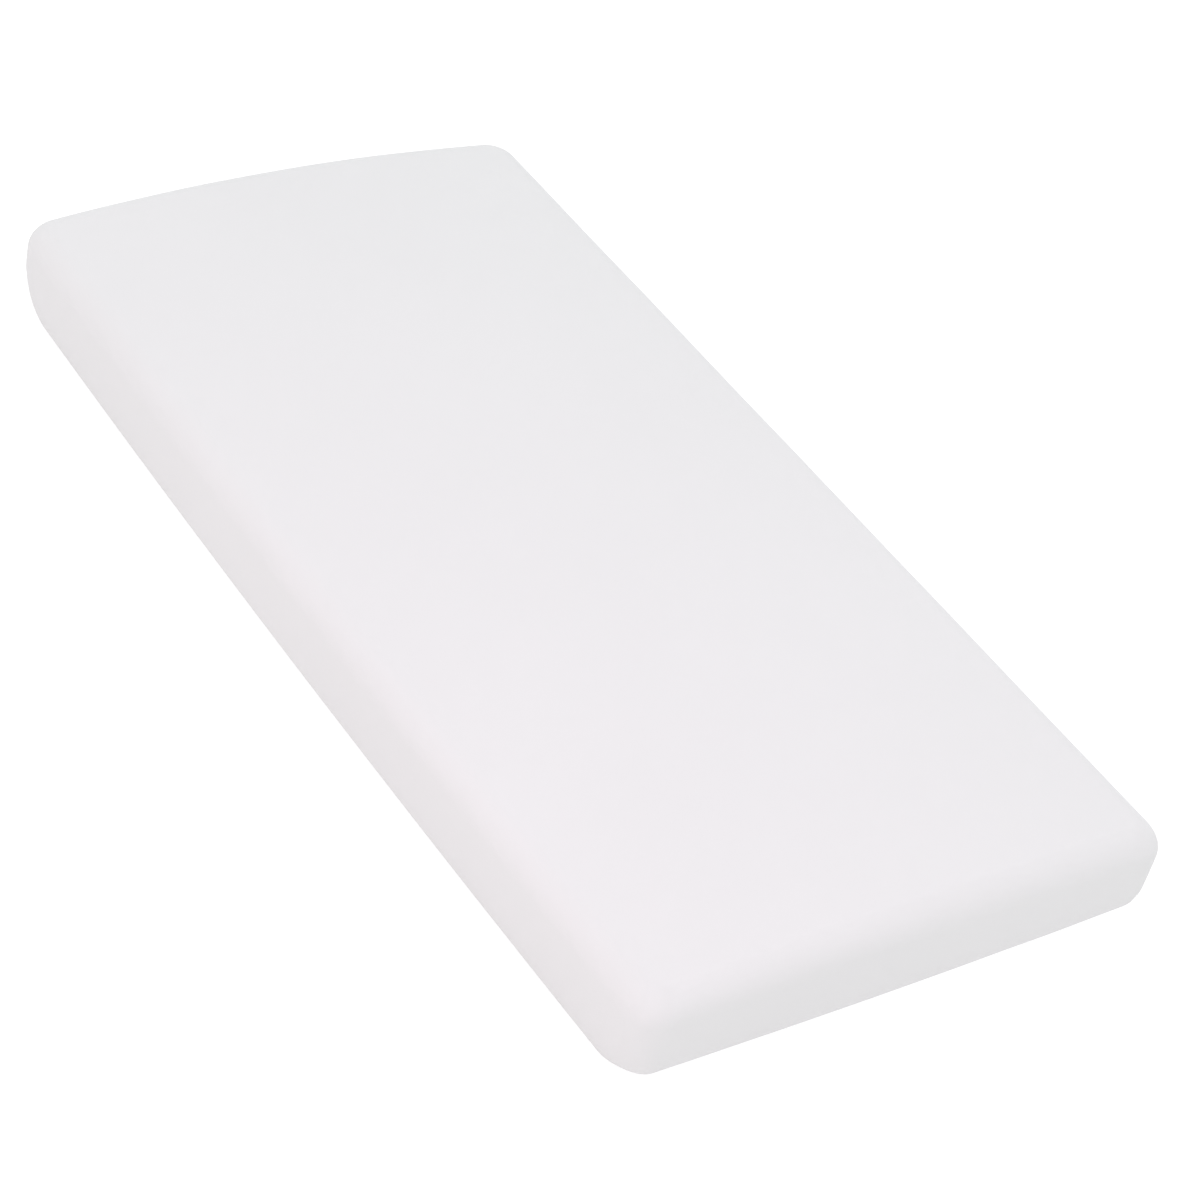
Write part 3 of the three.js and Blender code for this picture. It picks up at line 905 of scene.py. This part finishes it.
def seam_ridge():
    """The turned edges of the two cloths, rolled together under the overlock thread."""
    at, _, outwards = seam_path(SEAM_STEP)
    rows = []
    for turn in np.linspace(0, FULL_TURN, SEAM_SIDES, endpoint=False):
        up = SEAM_HALF_HEIGHT * math.sin(turn)
        rows.append(at + outwards * SEAM_HALF_WIDTH * math.cos(turn) + (0, 0, up))
    points = np.concatenate(rows)
    index = np.arange(len(points)).reshape(SEAM_SIDES, len(at))
    index = np.hstack([index, index[:, :1]])
    index = np.vstack([index, index[:1]])
    return make_piece("overlocked_seam", points, quads(index, flip=True), points[:, :2])


def seam_loops():
    """The overlock thread, which crosses the seam in slanting loops."""
    at, along, outwards = seam_path(LOOP_STEP)
    below = np.tile((0.0, 0.0, -1.0), (len(at), 1))
    slanted = unit(outwards + LOOP_SLANT * along)
    across = np.cross(below, slanted)
    return at + below * SEAM_HALF_HEIGHT, slanted, across, below


# --- Thread ---

STITCH_SIDES = 6
STITCH_STATIONS = 6
STITCH_SUNK = 0.6  # how far a stitch's ends lie in the cloth, as a share of its arch
STITCH_TIP = 0.08  # share of a stitch's cross-section that its ends keep


def stitches(name, frames, length, radius, arch):
    """Short stretches of thread that rise out of the cloth and dive back into it."""
    at, along, across, outwards = frames
    template = []
    for station in np.linspace(-1, 1, STITCH_STATIONS):
        thin = radius * math.sqrt(max(1 - abs(station) ** 3, STITCH_TIP))
        rise = arch * (1 - station**2) - STITCH_SUNK * arch
        for side in np.linspace(0, FULL_TURN, STITCH_SIDES, endpoint=False):
            up = rise + thin * math.sin(side)
            template.append((station * length / 2, thin * math.cos(side), up))
    template = np.array(template)
    points = at[:, None]
    for column, axis in enumerate((along, across, outwards)):
        points = points + template[None, :, column, None] * axis[:, None]
    tube = tube_faces(STITCH_STATIONS, STITCH_SIDES)
    faces = []
    for first in range(0, len(at) * len(template), len(template)):
        faces += [[first + corner for corner in face] for face in tube]
    return make_piece(name, points.reshape(-1, 3), faces)


def wall_frames(corners, out, pitch):
    """Places along a closed line on the +X wall, given by its corners as (Y, height), with
    the ways along the line, across it and out of the wall."""
    rows = []
    for start, end in zip(corners, corners[1:] + corners[:1]):
        start, end = np.array(start), np.array(end)
        distance = np.linalg.norm(end - start)
        way = (end - start) / distance
        count = max(int(distance / pitch), 1)
        for step in range(count):
            y, height = start + (end - start) * (step + 0.5) / count
            x, z, lean = wall_point(height, out)
            facing = np.array((math.cos(lean), 0, -math.sin(lean)))
            up = np.array((math.sin(lean), 0, math.cos(lean)))
            along = way[0] * np.array((0, 1, 0)) + way[1] * up
            rows.append(((x, y, z), along, np.cross(facing, along), facing))
    return tuple(np.array(part) for part in zip(*rows))


def sewn_box(name, middle, half, out, pitch, thread):
    """Stitches round an upright rectangle on the wall, of this thread: the length, radius
    and arch of a stitch."""
    near, far = middle[0] - half[0], middle[0] + half[0]
    low, high = middle[1] - half[1], middle[1] + half[1]
    corners = [(near, low), (far, low), (far, high), (near, high)]
    return stitches(name, wall_frames(corners, out, pitch), *thread)


# --- Small cloths on the wall ---

CLOTH_PUFF = 0.12 * MM  # a small cloth stands out by this in its middle
CLOTH_PRESSED = 0.08 * MM  # and is pressed in by this at its edges


def wall_cloth(name, middle, half, out, thick, cells):
    """A small piece of cloth that follows the +X wall, thinner at its pressed edges."""
    along_cells, up_cells = cells
    points, uv = [], []
    for a in np.linspace(-1, 1, along_cells + 1):
        for b in np.linspace(-1, 1, up_cells + 1):
            pressed = CLOTH_PRESSED * max(abs(a), abs(b)) ** 10
            puff = CLOTH_PUFF * (1 - a**8) * (1 - b**8) - pressed
            x, z, _ = wall_point(middle[1] + b * half[1], out + thick + puff)
            points.append((x, middle[0] + a * half[0], z))
            uv.append((a * half[0], b * half[1]))
    index = np.arange(len(points)).reshape(along_cells + 1, up_cells + 1)
    piece = make_piece(name, points, quads(index), uv)
    thicken(piece, thick)
    return piece


# --- The zip's tapes and coils ---

# The tape's section in mm, from its outer edge to the coil, which lies on it.
TAPE_UP = (12.7, 10, 7, 5.2, 4.9, 4.6, 4.2, 3.6, 3.1, 2.6, 2.0, 1.2, 0.6)
TAPE_OUT = (0, 0, 0, 0.03, 0.08, 0.03, -0.05, -0.20, -0.45, -0.72, -0.93, -0.95, -0.95)
TAPE_HALF_THICK = 0.2 * MM
TAPE_GAP = 0.05 * MM  # from the middle to the tape's inner edge at the ends
TAPE_CLOSING = (884 * MM, 6 * MM)  # where the inner edges start to close in, and the run
TAPE_STATIONS = 401

COIL_HALF = 888 * MM
COIL_PITCH = 1.35 * MM
COIL_STEPS = 10  # in each turn
COIL_OUT = (0.20 * MM, 0.52 * MM)  # the loops' middle over the tape, and their half height
COIL_UP = (1.28 * MM, 1.50 * MM)  # their middle from the chain's, and their half width
COIL_LEANING = 0.75  # 0 takes the wire forward evenly, 1 not at all at the loops' fronts
WIRE_RADIUS = 0.36 * MM
WIRE_SIDES = 5


def tape(side, label):
    """One woven tape. Its inner edge dips under the coil and meets the other's at the ends."""
    along = np.linspace(-ZIP_HALF, ZIP_HALF, TAPE_STATIONS)
    section = np.column_stack([TAPE_UP, TAPE_OUT]) * MM
    closing_from, closing_run = TAPE_CLOSING
    closing = np.clip((np.abs(along) - closing_from) / closing_run, 0, 1)
    rows = []
    for out_shift, points in ((TAPE_HALF_THICK, section), (-TAPE_HALF_THICK, section[::-1])):
        for up, out in points:
            closed_up = TAPE_GAP if up == section[-1, 0] else up
            ups = up * (1 - closing) + closed_up * closing
            rows.append(np.stack([np.full_like(along, out + out_shift), along, side * ups], 1))
    local = np.concatenate(rows)
    index = np.arange(len(local)).reshape(len(rows), -1)
    faces = quads(np.vstack([index, index[:1]]), flip=side < 0)
    ends = [index[:, 0].tolist(), index[::-1, -1].tolist()]
    faces += ends if side < 0 else [end[::-1] for end in ends]
    return make_piece(f"woven_tape_{label}", zip_points(local), faces, local[:, 1:])


def coil(side, label):
    """One coil of nylon wire, half a pitch ahead of the other so that the two mesh. The
    wire goes forward mostly at the back of its loops, so they stand square to the chain."""
    turns = int(2 * COIL_HALF / COIL_PITCH) - 1
    wound = np.arange(turns * COIL_STEPS + 1) / COIL_STEPS
    angle = FULL_TURN * wound
    start = COIL_PITCH * (0.75 if side > 0 else 0.25) - COIL_HALF
    along = start + COIL_PITCH * (wound + COIL_LEANING * np.sin(angle) / FULL_TURN)
    out = COIL_OUT[0] + COIL_OUT[1] * np.sin(angle)
    up = side * (COIL_UP[0] + COIL_UP[1] * np.cos(angle))
    path = np.stack([out, along, up], 1)
    forward = unit(np.gradient(path, axis=0))
    inwards = np.stack([-np.sin(angle), np.zeros_like(angle), -side * np.cos(angle)], 1)
    inwards = unit(inwards - forward * (inwards * forward).sum(1, keepdims=True))
    sideways = np.cross(forward, inwards)
    rows = []
    for turn in np.linspace(0, FULL_TURN, WIRE_SIDES, endpoint=False):
        rows.append(path + WIRE_RADIUS * (math.cos(turn) * inwards + math.sin(turn) * sideways))
    local = np.stack(rows, 1).reshape(-1, 3)
    return make_piece(f"nylon_coil_{label}", zip_points(local), tube_faces(len(path), WIRE_SIDES))


# --- The zip's metal parts, drawn in mm in the zip's frame ---

PLATE = (1.4, 2.3)  # out, from the inside of a plate to its outside
PLATE_BEVEL = 0.25
NOSE = 6.5  # half the slider's length
NOSE_CORNER = (2.8, 2.2)  # middle and radius
TAIL_CORNER = (2.5, 1.6)
FLANGE = (3.9, 4.95, 0.7, 2.1)  # near and far up, low and high out
FLANGE_HALF = 4.4
POST = (3.7, 6.3, 0.55, 0.5)  # near, far, half width and corner radius
POST_OUT = 2
POST_BEVEL = 0.05
BRIDGE_FOOT = (4.4, 1.6)  # along, and how far out it stands on the plate
BRIDGE_TOP = 6.0
BRIDGE_CORNER = 1.9
BRIDGE_STRAP = 1.0
BRIDGE_INSIDE = 0.77  # the opening's height as a share of the bridge's
BRIDGE_HALF = 1.1
SMALL_BEVEL = 0.2
TAB_HALF_THICK = 0.6
TAB_TIP = -33.4
TAB_HALF = 3.5
TAB_CORNER = 0.8
TAB_SIDE = [(-8.5, 3.5), (-12, 3.05), (-17, 2.7), (-23, 3.0)]
TAB_BEVEL = 0.28
EYE = (-6, -0.6, 1.7, 0.6)  # near, far, half width and corner radius
HOLE = (4.5, 1.5)  # from the tip, and its radius
STOP_LAYERS = ((0.5, 1.35, 3.2), (-1.35, -0.5, 3.2), (-0.9, 0.9, 2.3))  # low, high, half
STOP_HALF = 1.8
STOP_CORNER = 0.6
STOP_AT = COIL_HALF + 2.15 * MM


def plate(name, loops, low, high, bevel):
    """A plate with rounded edges, given as loops of (along, up)."""
    curve = bpy.data.curves.new(name, "CURVE")
    curve.dimensions = "2D"
    curve.fill_mode = "BOTH"
    for loop in loops:
        spline = curve.splines.new("POLY")
        spline.points.add(len(loop) - 1)
        for point, (along, up) in zip(spline.points, loop):
            point.co = (along * MM, up * MM, 0, 1)
        spline.use_cyclic_u = True
    curve.extrude = ((high - low) / 2 - bevel) * MM
    curve.bevel_depth = bevel * MM
    curve.bevel_resolution = 2
    curve.offset = -bevel * MM
    drawn = add_object(name, curve)
    graph = bpy.context.evaluated_depsgraph_get()
    mesh = bpy.data.meshes.new_from_object(drawn.evaluated_get(graph))
    bpy.data.objects.remove(drawn)
    middle = (low + high) / 2 * MM
    mesh.transform(Matrix(((0, 0, 1, middle), (1, 0, 0, 0), (0, 1, 0, 0), (0, 0, 0, 1))))
    return add_object(name, mesh)


def arc(middle, radius, start, end, steps):
    """Points on a round stretch of an outline; angles in quarter turns."""
    turns = np.linspace(start, end, steps + 1) * QUARTER
    return [(middle[0] + radius * math.cos(t), middle[1] + radius * math.sin(t)) for t in turns]


def under(upper):
    """The lower half of an outline, the mirror image of its upper half."""
    return [(along, -up) for along, up in upper[::-1]]


def rounded_box(near, far, half, radius):
    """A rounded rectangle from near to far along, and half that wide each way."""
    upper = arc((far - radius, half - radius), radius, 0, 1, 5)
    upper += arc((near + radius, half - radius), radius, 1, 2, 5)
    return upper + under(upper)


def fused(pieces, name, voxel, softening):
    """Overlapping parts melted into one casting with soft edges."""
    with bpy.context.temp_override(
        active_object=pieces[0], selected_editable_objects=pieces
    ):
        bpy.ops.object.join()
    casting = pieces[0]
    casting.name = name
    casting.data.name = name
    remesh = casting.modifiers.new("Fuse", "REMESH")
    remesh.mode = "VOXEL"
    remesh.voxel_size = voxel
    remesh.use_smooth_shade = True
    smooth = casting.modifiers.new("Soften", "SMOOTH")
    smooth.iterations = softening
    smooth.factor = 0.5
    apply_modifiers(casting)
    return casting


def slider_plate(low, high):
    """One of the slider's plates: broad at the nose, where the two halves come in."""
    nose_up, nose_radius = NOSE_CORNER
    tail_up, tail_radius = TAIL_CORNER
    upper = arc((NOSE - nose_radius, nose_up), nose_radius, 0, 1, 6)
    upper += arc((tail_radius - NOSE, tail_up), tail_radius, 1, 2, 6)
    return plate("plate", [upper + under(upper)], low, high, PLATE_BEVEL)


def slider_flange(face, side):
    """The turned-in rim along one edge of one plate."""
    near, far, low, high = FLANGE
    low, high = sorted((face * low, face * high))
    outline = [(-FLANGE_HALF, side * near), (FLANGE_HALF, side * near)]
    outline += [(FLANGE_HALF, side * far), (-FLANGE_HALF, side * far)]
    return plate("flange", [outline], low, high, SMALL_BEVEL)


def slider_bridge():
    """The arch over the top plate that the tab hangs on, as a bent flat strap."""
    foot, stands_at = BRIDGE_FOOT
    corner_along, corner_out = foot - BRIDGE_CORNER, BRIDGE_TOP - BRIDGE_CORNER
    outer = [(foot, stands_at)] + arc((corner_along, corner_out), BRIDGE_CORNER, 0, 1, 6)
    outer += arc((-corner_along, corner_out), BRIDGE_CORNER, 1, 2, 6) + [(-foot, stands_at)]
    narrower = (foot - BRIDGE_STRAP) / foot
    inner = [
        (along * narrower, stands_at + (out - stands_at) * BRIDGE_INSIDE)
        for along, out in outer[::-1]
    ]
    bridge = plate("bridge", [outer + inner], -BRIDGE_HALF, BRIDGE_HALF, SMALL_BEVEL)
    # The strap was drawn flat in the tape's plane; this stands it up across the plate.
    bridge.data.transform(Matrix(((0, 0, 1, 0), (0, 1, 0, 0), (-1, 0, 0, 0), (0, 0, 0, 1))))
    return bridge


def enamelled_slider():
    low, high = PLATE
    post = plate("post", [rounded_box(*POST)], -POST_OUT, POST_OUT, POST_BEVEL)
    parts = [slider_plate(low, high), slider_plate(-high, -low), post]
    parts += [slider_flange(face, side) for face in (1, -1) for side in (1, -1)]
    parts.append(slider_bridge())
    body = fused(parts, "enamelled_slider", voxel=0.14 * MM, softening=4)
    return into_wall(body, SLIDER_AT)


def enamelled_tab():
    """The tab, flat along the closed chain, with its eye round the slider's bridge."""
    corner = (TAB_HALF_THICK - TAB_CORNER, TAB_HALF - TAB_CORNER)
    upper = arc(corner, TAB_CORNER, 0, 1, 4) + TAB_SIDE
    upper += arc((TAB_TIP + TAB_HALF, 0), TAB_HALF, 1, 1.9, 9)
    outline = upper + [(TAB_TIP, 0)] + under(upper)
    hole_from_tip, hole_radius = HOLE
    hole = arc((TAB_TIP + hole_from_tip, 0), hole_radius, 0, 4, 20)[:-1]
    loops = [outline, rounded_box(*EYE), hole]
    tab = plate("enamelled_pull_tab", loops, -TAB_HALF_THICK, TAB_HALF_THICK, TAB_BEVEL)
    return into_wall(tab, SLIDER_AT, out=PULL_AXIS)


def crimped_stop(label, end):
    """A metal strip bent round both halves of the chain, with a pressed middle."""
    parts = []
    for low, high, half in STOP_LAYERS:
        outline = rounded_box(-STOP_HALF, STOP_HALF, half, STOP_CORNER)
        parts.append(plate("stop", [outline], low, high, SMALL_BEVEL))
    stop = fused(parts, f"crimped_stop_{label}", voxel=0.12 * MM, softening=3)
    return into_wall(stop, end * STOP_AT)


# --- Inside the cover ---

SLEEVE_SLIT_HALF = 300 * MM
SLEEVE_SLIT = (90 * MM, 120 * MM)
FOAM_SOFT = 1.5 * MM  # how far the edges of a cut layer are softened
FOAM_FADE = 50 * MM  # over which the carving of a face fades near its edges
FOAM_PLAIN = 0.6  # width of the plain border, as a share of that
PITS = (75 * MM, 13 * MM)  # pitch and depth
GROOVES = (72 * MM, 9 * MM)
ZONE = (0.25, 0.62)  # from the shoulders to the hips, from the middle of the length


def jersey_sleeve():
    """The thin knitted sock round the foam, open at one end where it is tacked together."""
    shares = np.concatenate([np.linspace(0, PARTING, 9), np.linspace(PARTING, 1, 7)[1:]])
    plain = wall_rings(SLEEVE_INSET, shares, edge_steps=4, cells=MEDIUM)
    rings, points, faces = swollen_stack(plain, MEDIUM, bottom=True)
    walls = np.array(faces["wall"])
    middles = points[walls].mean(1)
    in_slit = (middles[:, 2] > SLEEVE_SLIT[0]) & (middles[:, 2] < SLEEVE_SLIT[1])
    in_slit &= (middles[:, 1] > HALF_LENGTH / 2) & (np.abs(middles[:, 0]) < SLEEVE_SLIT_HALF)
    ends = faces["top"] + faces["bottom"]
    sleeve = make_piece("jersey_sleeve", points, walls[~in_slit].tolist() + ends)
    walls_flat = unrolled(rings, walls, MEDIUM)[~in_slit]
    lay_flat(sleeve, np.concatenate([walls_flat, points[np.array(ends)][..., :2]]))
    thicken(sleeve, SLEEVE_THICK)
    return sleeve


def shrunk(ring, by):
    """A ring drawn in a little, for a softened edge."""
    smaller = ring.copy()
    smaller[:, 0] *= 1 - by / HALF_WIDTH
    smaller[:, 1] *= 1 - by / HALF_LENGTH
    return smaller


def foam_layer(name, low, high, cells, carve=None):
    """A cut slab of foam that fills the body between two heights, or up to the top if no
    upper height is given."""
    shares = np.linspace(0, 1, 30)
    walls = wall_rings(FOAM_INSET, shares, edge_steps=6, cells=cells)
    rings = [shrunk(at_height(walls, low), FOAM_SOFT)]
    if high is None:
        heights = np.linspace(low + FOAM_SOFT, SIDE_TUCK_UP, 4)[:-1]
        upper_rings = list(walls[len(shares) - 1:])
    else:
        heights = np.linspace(low + FOAM_SOFT, high - FOAM_SOFT, 6)
        upper_rings = [shrunk(at_height(walls, high), FOAM_SOFT)]
    rings += [at_height(walls, height) for height in heights] + upper_rings
    rings = np.array(rings)
    points, faces = stack(rings, cells, bottom=True)
    if carve is not None:
        top_start = rings.shape[0] * rings.shape[1]
        top = slice(top_start, top_start + len(cap_points(rings[-1], cells)))
        points[top, 2] -= carve(points[top])
    return make_piece(name, swell(points), faces["wall"] + faces["top"] + faces["bottom"])


def inside_edge(points):
    """1 away from the slab's edges, falling to 0 towards its plain border."""
    room_x = (HALF_WIDTH - FOAM_INSET - np.abs(points[:, 0])) / FOAM_FADE
    room_y = (HALF_LENGTH - FOAM_INSET - np.abs(points[:, 1])) / FOAM_FADE
    return np.clip(np.minimum(room_x, room_y) - FOAM_PLAIN, 0, 1)


def convoluted(points):
    """Rounded pits between rounded peaks, which let air through the layer."""
    pitch, depth = PITS
    hills = np.cos(FULL_TURN * points[:, 0] / pitch) * np.cos(FULL_TURN * points[:, 1] / pitch)
    return depth * (0.5 - 0.5 * hills) * inside_edge(points)


def zoned(points):
    """Shallow cuts across the core that soften it under the shoulders and hips."""
    pitch, depth = GROOVES
    along = np.abs(points[:, 1])
    zone = (along > ZONE[0]) & (along < ZONE[1])
    groove = np.maximum(np.cos(FULL_TURN * points[:, 1] / pitch), 0) ** 2
    return depth * zone * groove * inside_edge(points)


# --- Light, floor and camera ---

CAMERA_AIM = Vector((0.0026, -0.1384, 0.1))
CAMERA_DISTANCE = 5.4671
CAMERA_HEADING = math.radians(42.352)  # from +Y towards +X
CAMERA_HEIGHT = math.radians(38.598)  # above the horizon
CAMERA_ROLL = math.radians(14.906)
CAMERA_LENS = 102.165
CAMERA_REACH = 200
FLOOR_SIZE = 40
FLOOR_GLOW = 0.77
SKY_LOW = (1.0, 1.0, 1.0)
SKY_HIGH = (1.275, 1.350, 1.332)
# Place, aim, size, power and colour.
LAMPS = {
    "overhead_lamp": ((-0.7, -0.9, 2.7), (-0.3, -0.7, 0.2), (1.6, 1.6), 11.2, (1.0, 0.60, 0.84)),
    "side_lamp": ((-3.1, -0.7, 0.75), (-0.5, -0.2, 0.1), (3.6, 1.3), 8.8, (1.0, 0.64, 0.70)),
}


def looking(place, way):
    """The matrix of a camera or lamp at a place, looking this way."""
    return Matrix.Translation(place) @ way.to_track_quat("-Z", "Y").to_matrix().to_4x4()


def camera():
    level = math.cos(CAMERA_HEIGHT)
    east, north = math.sin(CAMERA_HEADING) * level, math.cos(CAMERA_HEADING) * level
    way = Vector((east, north, -math.sin(CAMERA_HEIGHT)))
    data = bpy.data.cameras.new("camera")
    data.lens = CAMERA_LENS
    data.clip_end = CAMERA_REACH
    made = add_object("camera", data)
    placed = looking(CAMERA_AIM - way * CAMERA_DISTANCE, way)
    made.matrix_world = placed @ Matrix.Rotation(CAMERA_ROLL, 4, "Z")
    bpy.context.scene.camera = made


def studio_floor():
    signs = ((-1, -1), (1, -1), (1, 1), (-1, 1))
    corners = [(x * FLOOR_SIZE, y * FLOOR_SIZE, 0) for x, y in signs]
    floor = make_piece("studio_floor", corners, [(0, 1, 2, 3)])
    shader = Shader("pale_studio_floor", 0.95)
    shader.colour(shader.blend(shader.noise(0.6), (0.29, 0.29, 0.29), (0.31, 0.31, 0.31)))
    shader.surface.inputs["Emission Color"].default_value = (1, 1, 1, 1)
    shader.surface.inputs["Emission Strength"].default_value = FLOOR_GLOW
    floor.data.materials.append(shader.material)


def studio_light():
    """A bright, even room, stronger from above, and two large soft lamps."""
    world = bpy.data.worlds.new("studio")
    bpy.context.scene.world = world
    world.use_nodes = True
    tree = world.node_tree
    coordinates = tree.nodes.new("ShaderNodeTexCoord")
    parts = tree.nodes.new("ShaderNodeSeparateXYZ")
    sky = tree.nodes.new("ShaderNodeMix")
    sky.data_type = "RGBA"
    sky.inputs["A"].default_value = (*SKY_LOW, 1)
    sky.inputs["B"].default_value = (*SKY_HIGH, 1)
    tree.links.new(coordinates.outputs["Generated"], parts.inputs[0])
    tree.links.new(parts.outputs["Z"], sky.inputs["Factor"])
    tree.links.new(sky.outputs["Result"], tree.nodes["Background"].inputs["Color"])
    for name, (place, aim, size, power, colour) in LAMPS.items():
        lamp = bpy.data.lights.new(name, "AREA")
        lamp.shape = "RECTANGLE"
        lamp.size, lamp.size_y = size
        lamp.energy = power
        lamp.color = colour
        add_object(name, lamp).matrix_world = looking(place, Vector(aim) - Vector(place))
    bpy.context.scene.view_settings.view_transform = "Standard"


# --- The whole mattress ---

# Cloths and rows of stitches on the wall: half their length and height, and how far out
# they lie. A thread is the length, radius and arch of its stitches.
OVERLOCK_THREAD = (3.4 * MM, 0.22 * MM, 0.12 * MM)
TOPSTITCHING = dict(
    half=(ZIP_HALF - 2 * MM, STITCH_LINE * math.cos(ZIP_LEAN)),
    out=0.1 * MM,
    pitch=3 * MM,
    thread=(2.5 * MM, 0.2 * MM, 0.22 * MM),
)
LABEL = dict(half=(35 * MM, 17 * MM), out=0.15 * MM, thick=0.45 * MM, cells=(42, 20))
LABEL_SEWING = dict(
    half=(32.5 * MM, 14.5 * MM),
    out=0.72 * MM,
    pitch=2.6 * MM,
    thread=(2.1 * MM, 0.16 * MM, 0.16 * MM),
)
PATCH = dict(half=(7.5 * MM, 16.5 * MM), out=0.1 * MM, thick=0.7 * MM, cells=(10, 22))
PATCH_SEWING = dict(
    half=(5.6 * MM, 14.4 * MM),
    out=0.92 * MM,
    pitch=2.4 * MM,
    thread=(2.0 * MM, 0.17 * MM, 0.18 * MM),
)


def settle(piece, material, slot, *nodes, body="mattress"):
    """Gives a piece its material, its slot, the CAD nodes it stands for and its body."""
    piece.data.materials.clear()
    piece.data.materials.append(material)
    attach(piece, body)
    if nodes:
        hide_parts(*nodes)
    return piece


def build_cover():
    knit = cloth_material("white_stretch_knit")
    cover = settle(knit_cover(), knit, "cover_knit", "cover_shell")
    cloth = cloth_material("grey_white_woven_cloth")
    base = settle(base_panel(), cloth, "base_cloth", "cover_base")
    settle(seam_ridge(), cloth, "base_cloth", "base_seam_overlock")
    thread = cloth_material("white_sewing_thread")
    loops = stitches("overlock_thread", seam_loops(), *OVERLOCK_THREAD)
    settle(loops, thread, "seam_thread")
    sewn = sewn_box("zip_topstitching", (0, ZIP_HEIGHT), **TOPSTITCHING)
    settle(sewn, thread, "seam_thread")


def build_label():
    middle = (LABEL_AT, LABEL_HEIGHT)
    label = wall_cloth("satin_care_label", middle, **LABEL)
    satin = cloth_material("white_label_satin")
    settle(label, satin, "label_satin", "care_label")
    sewn = sewn_box("label_stitching", middle, **LABEL_SEWING)
    settle(sewn, cloth_material("white_sewing_thread"), "seam_thread")


def build_zip():
    cloth = cloth_material("white_woven_zip_tape")
    nylon = coil_material()
    for side, label in ((1, "upper"), (-1, "lower")):
        strip = settle(tape(side, label), cloth, "zip_tape", f"zip_tape_{label}")
        settle(coil(side, label), nylon, "zip_coil", f"zip_coil_{label}")
    enamel = enamel_material()
    thread = cloth_material("white_sewing_thread")
    for end, label in ((1, "closed"), (-1, "open")):
        stop = crimped_stop(label, end)
        settle(stop, enamel, "zip_metal", f"zip_stop_{label}")
        middle = (end * PATCH_AT, ZIP_HEIGHT)
        patch = wall_cloth(f"knit_end_patch_{label}", middle, **PATCH)
        knit = cloth_material("white_stretch_knit")
        settle(patch, knit, "cover_knit", f"zip_end_patch_{label}")
        sewn = sewn_box(f"end_patch_stitching_{label}", middle, **PATCH_SEWING)
        settle(sewn, thread, "seam_thread")
    settle(enamelled_slider(), enamel, "zip_metal", "zip_slider", body="slider")
    settle(enamelled_tab(), enamel, "zip_metal", "zip_pull_tab", body="pull")


def build_inside():
    jersey = cloth_material("fire_barrier_jersey")
    sleeve = settle(jersey_sleeve(), jersey, "sleeve_jersey", "inner_sleeve")
    core = foam_layer("cut_support_core", *SUPPORT_SPAN, FINE, zoned)
    middle = foam_layer("convoluted_airflow_foam", *AIRFLOW_SPAN, FINE, convoluted)
    upper = foam_layer("moulded_memory_foam", MEMORY_LOW, None, MEDIUM)
    for layer, slot, node in (
        (core, "support_foam", "support_foam_core"),
        (middle, "airflow_foam", "airflow_foam_layer"),
        (upper, "memory_foam", "memory_foam_layer"),
    ):
        settle(layer, foam_material(slot), slot, node)


camera()
studio_floor()
studio_light()
build_cover()
build_label()
build_zip()
build_inside()
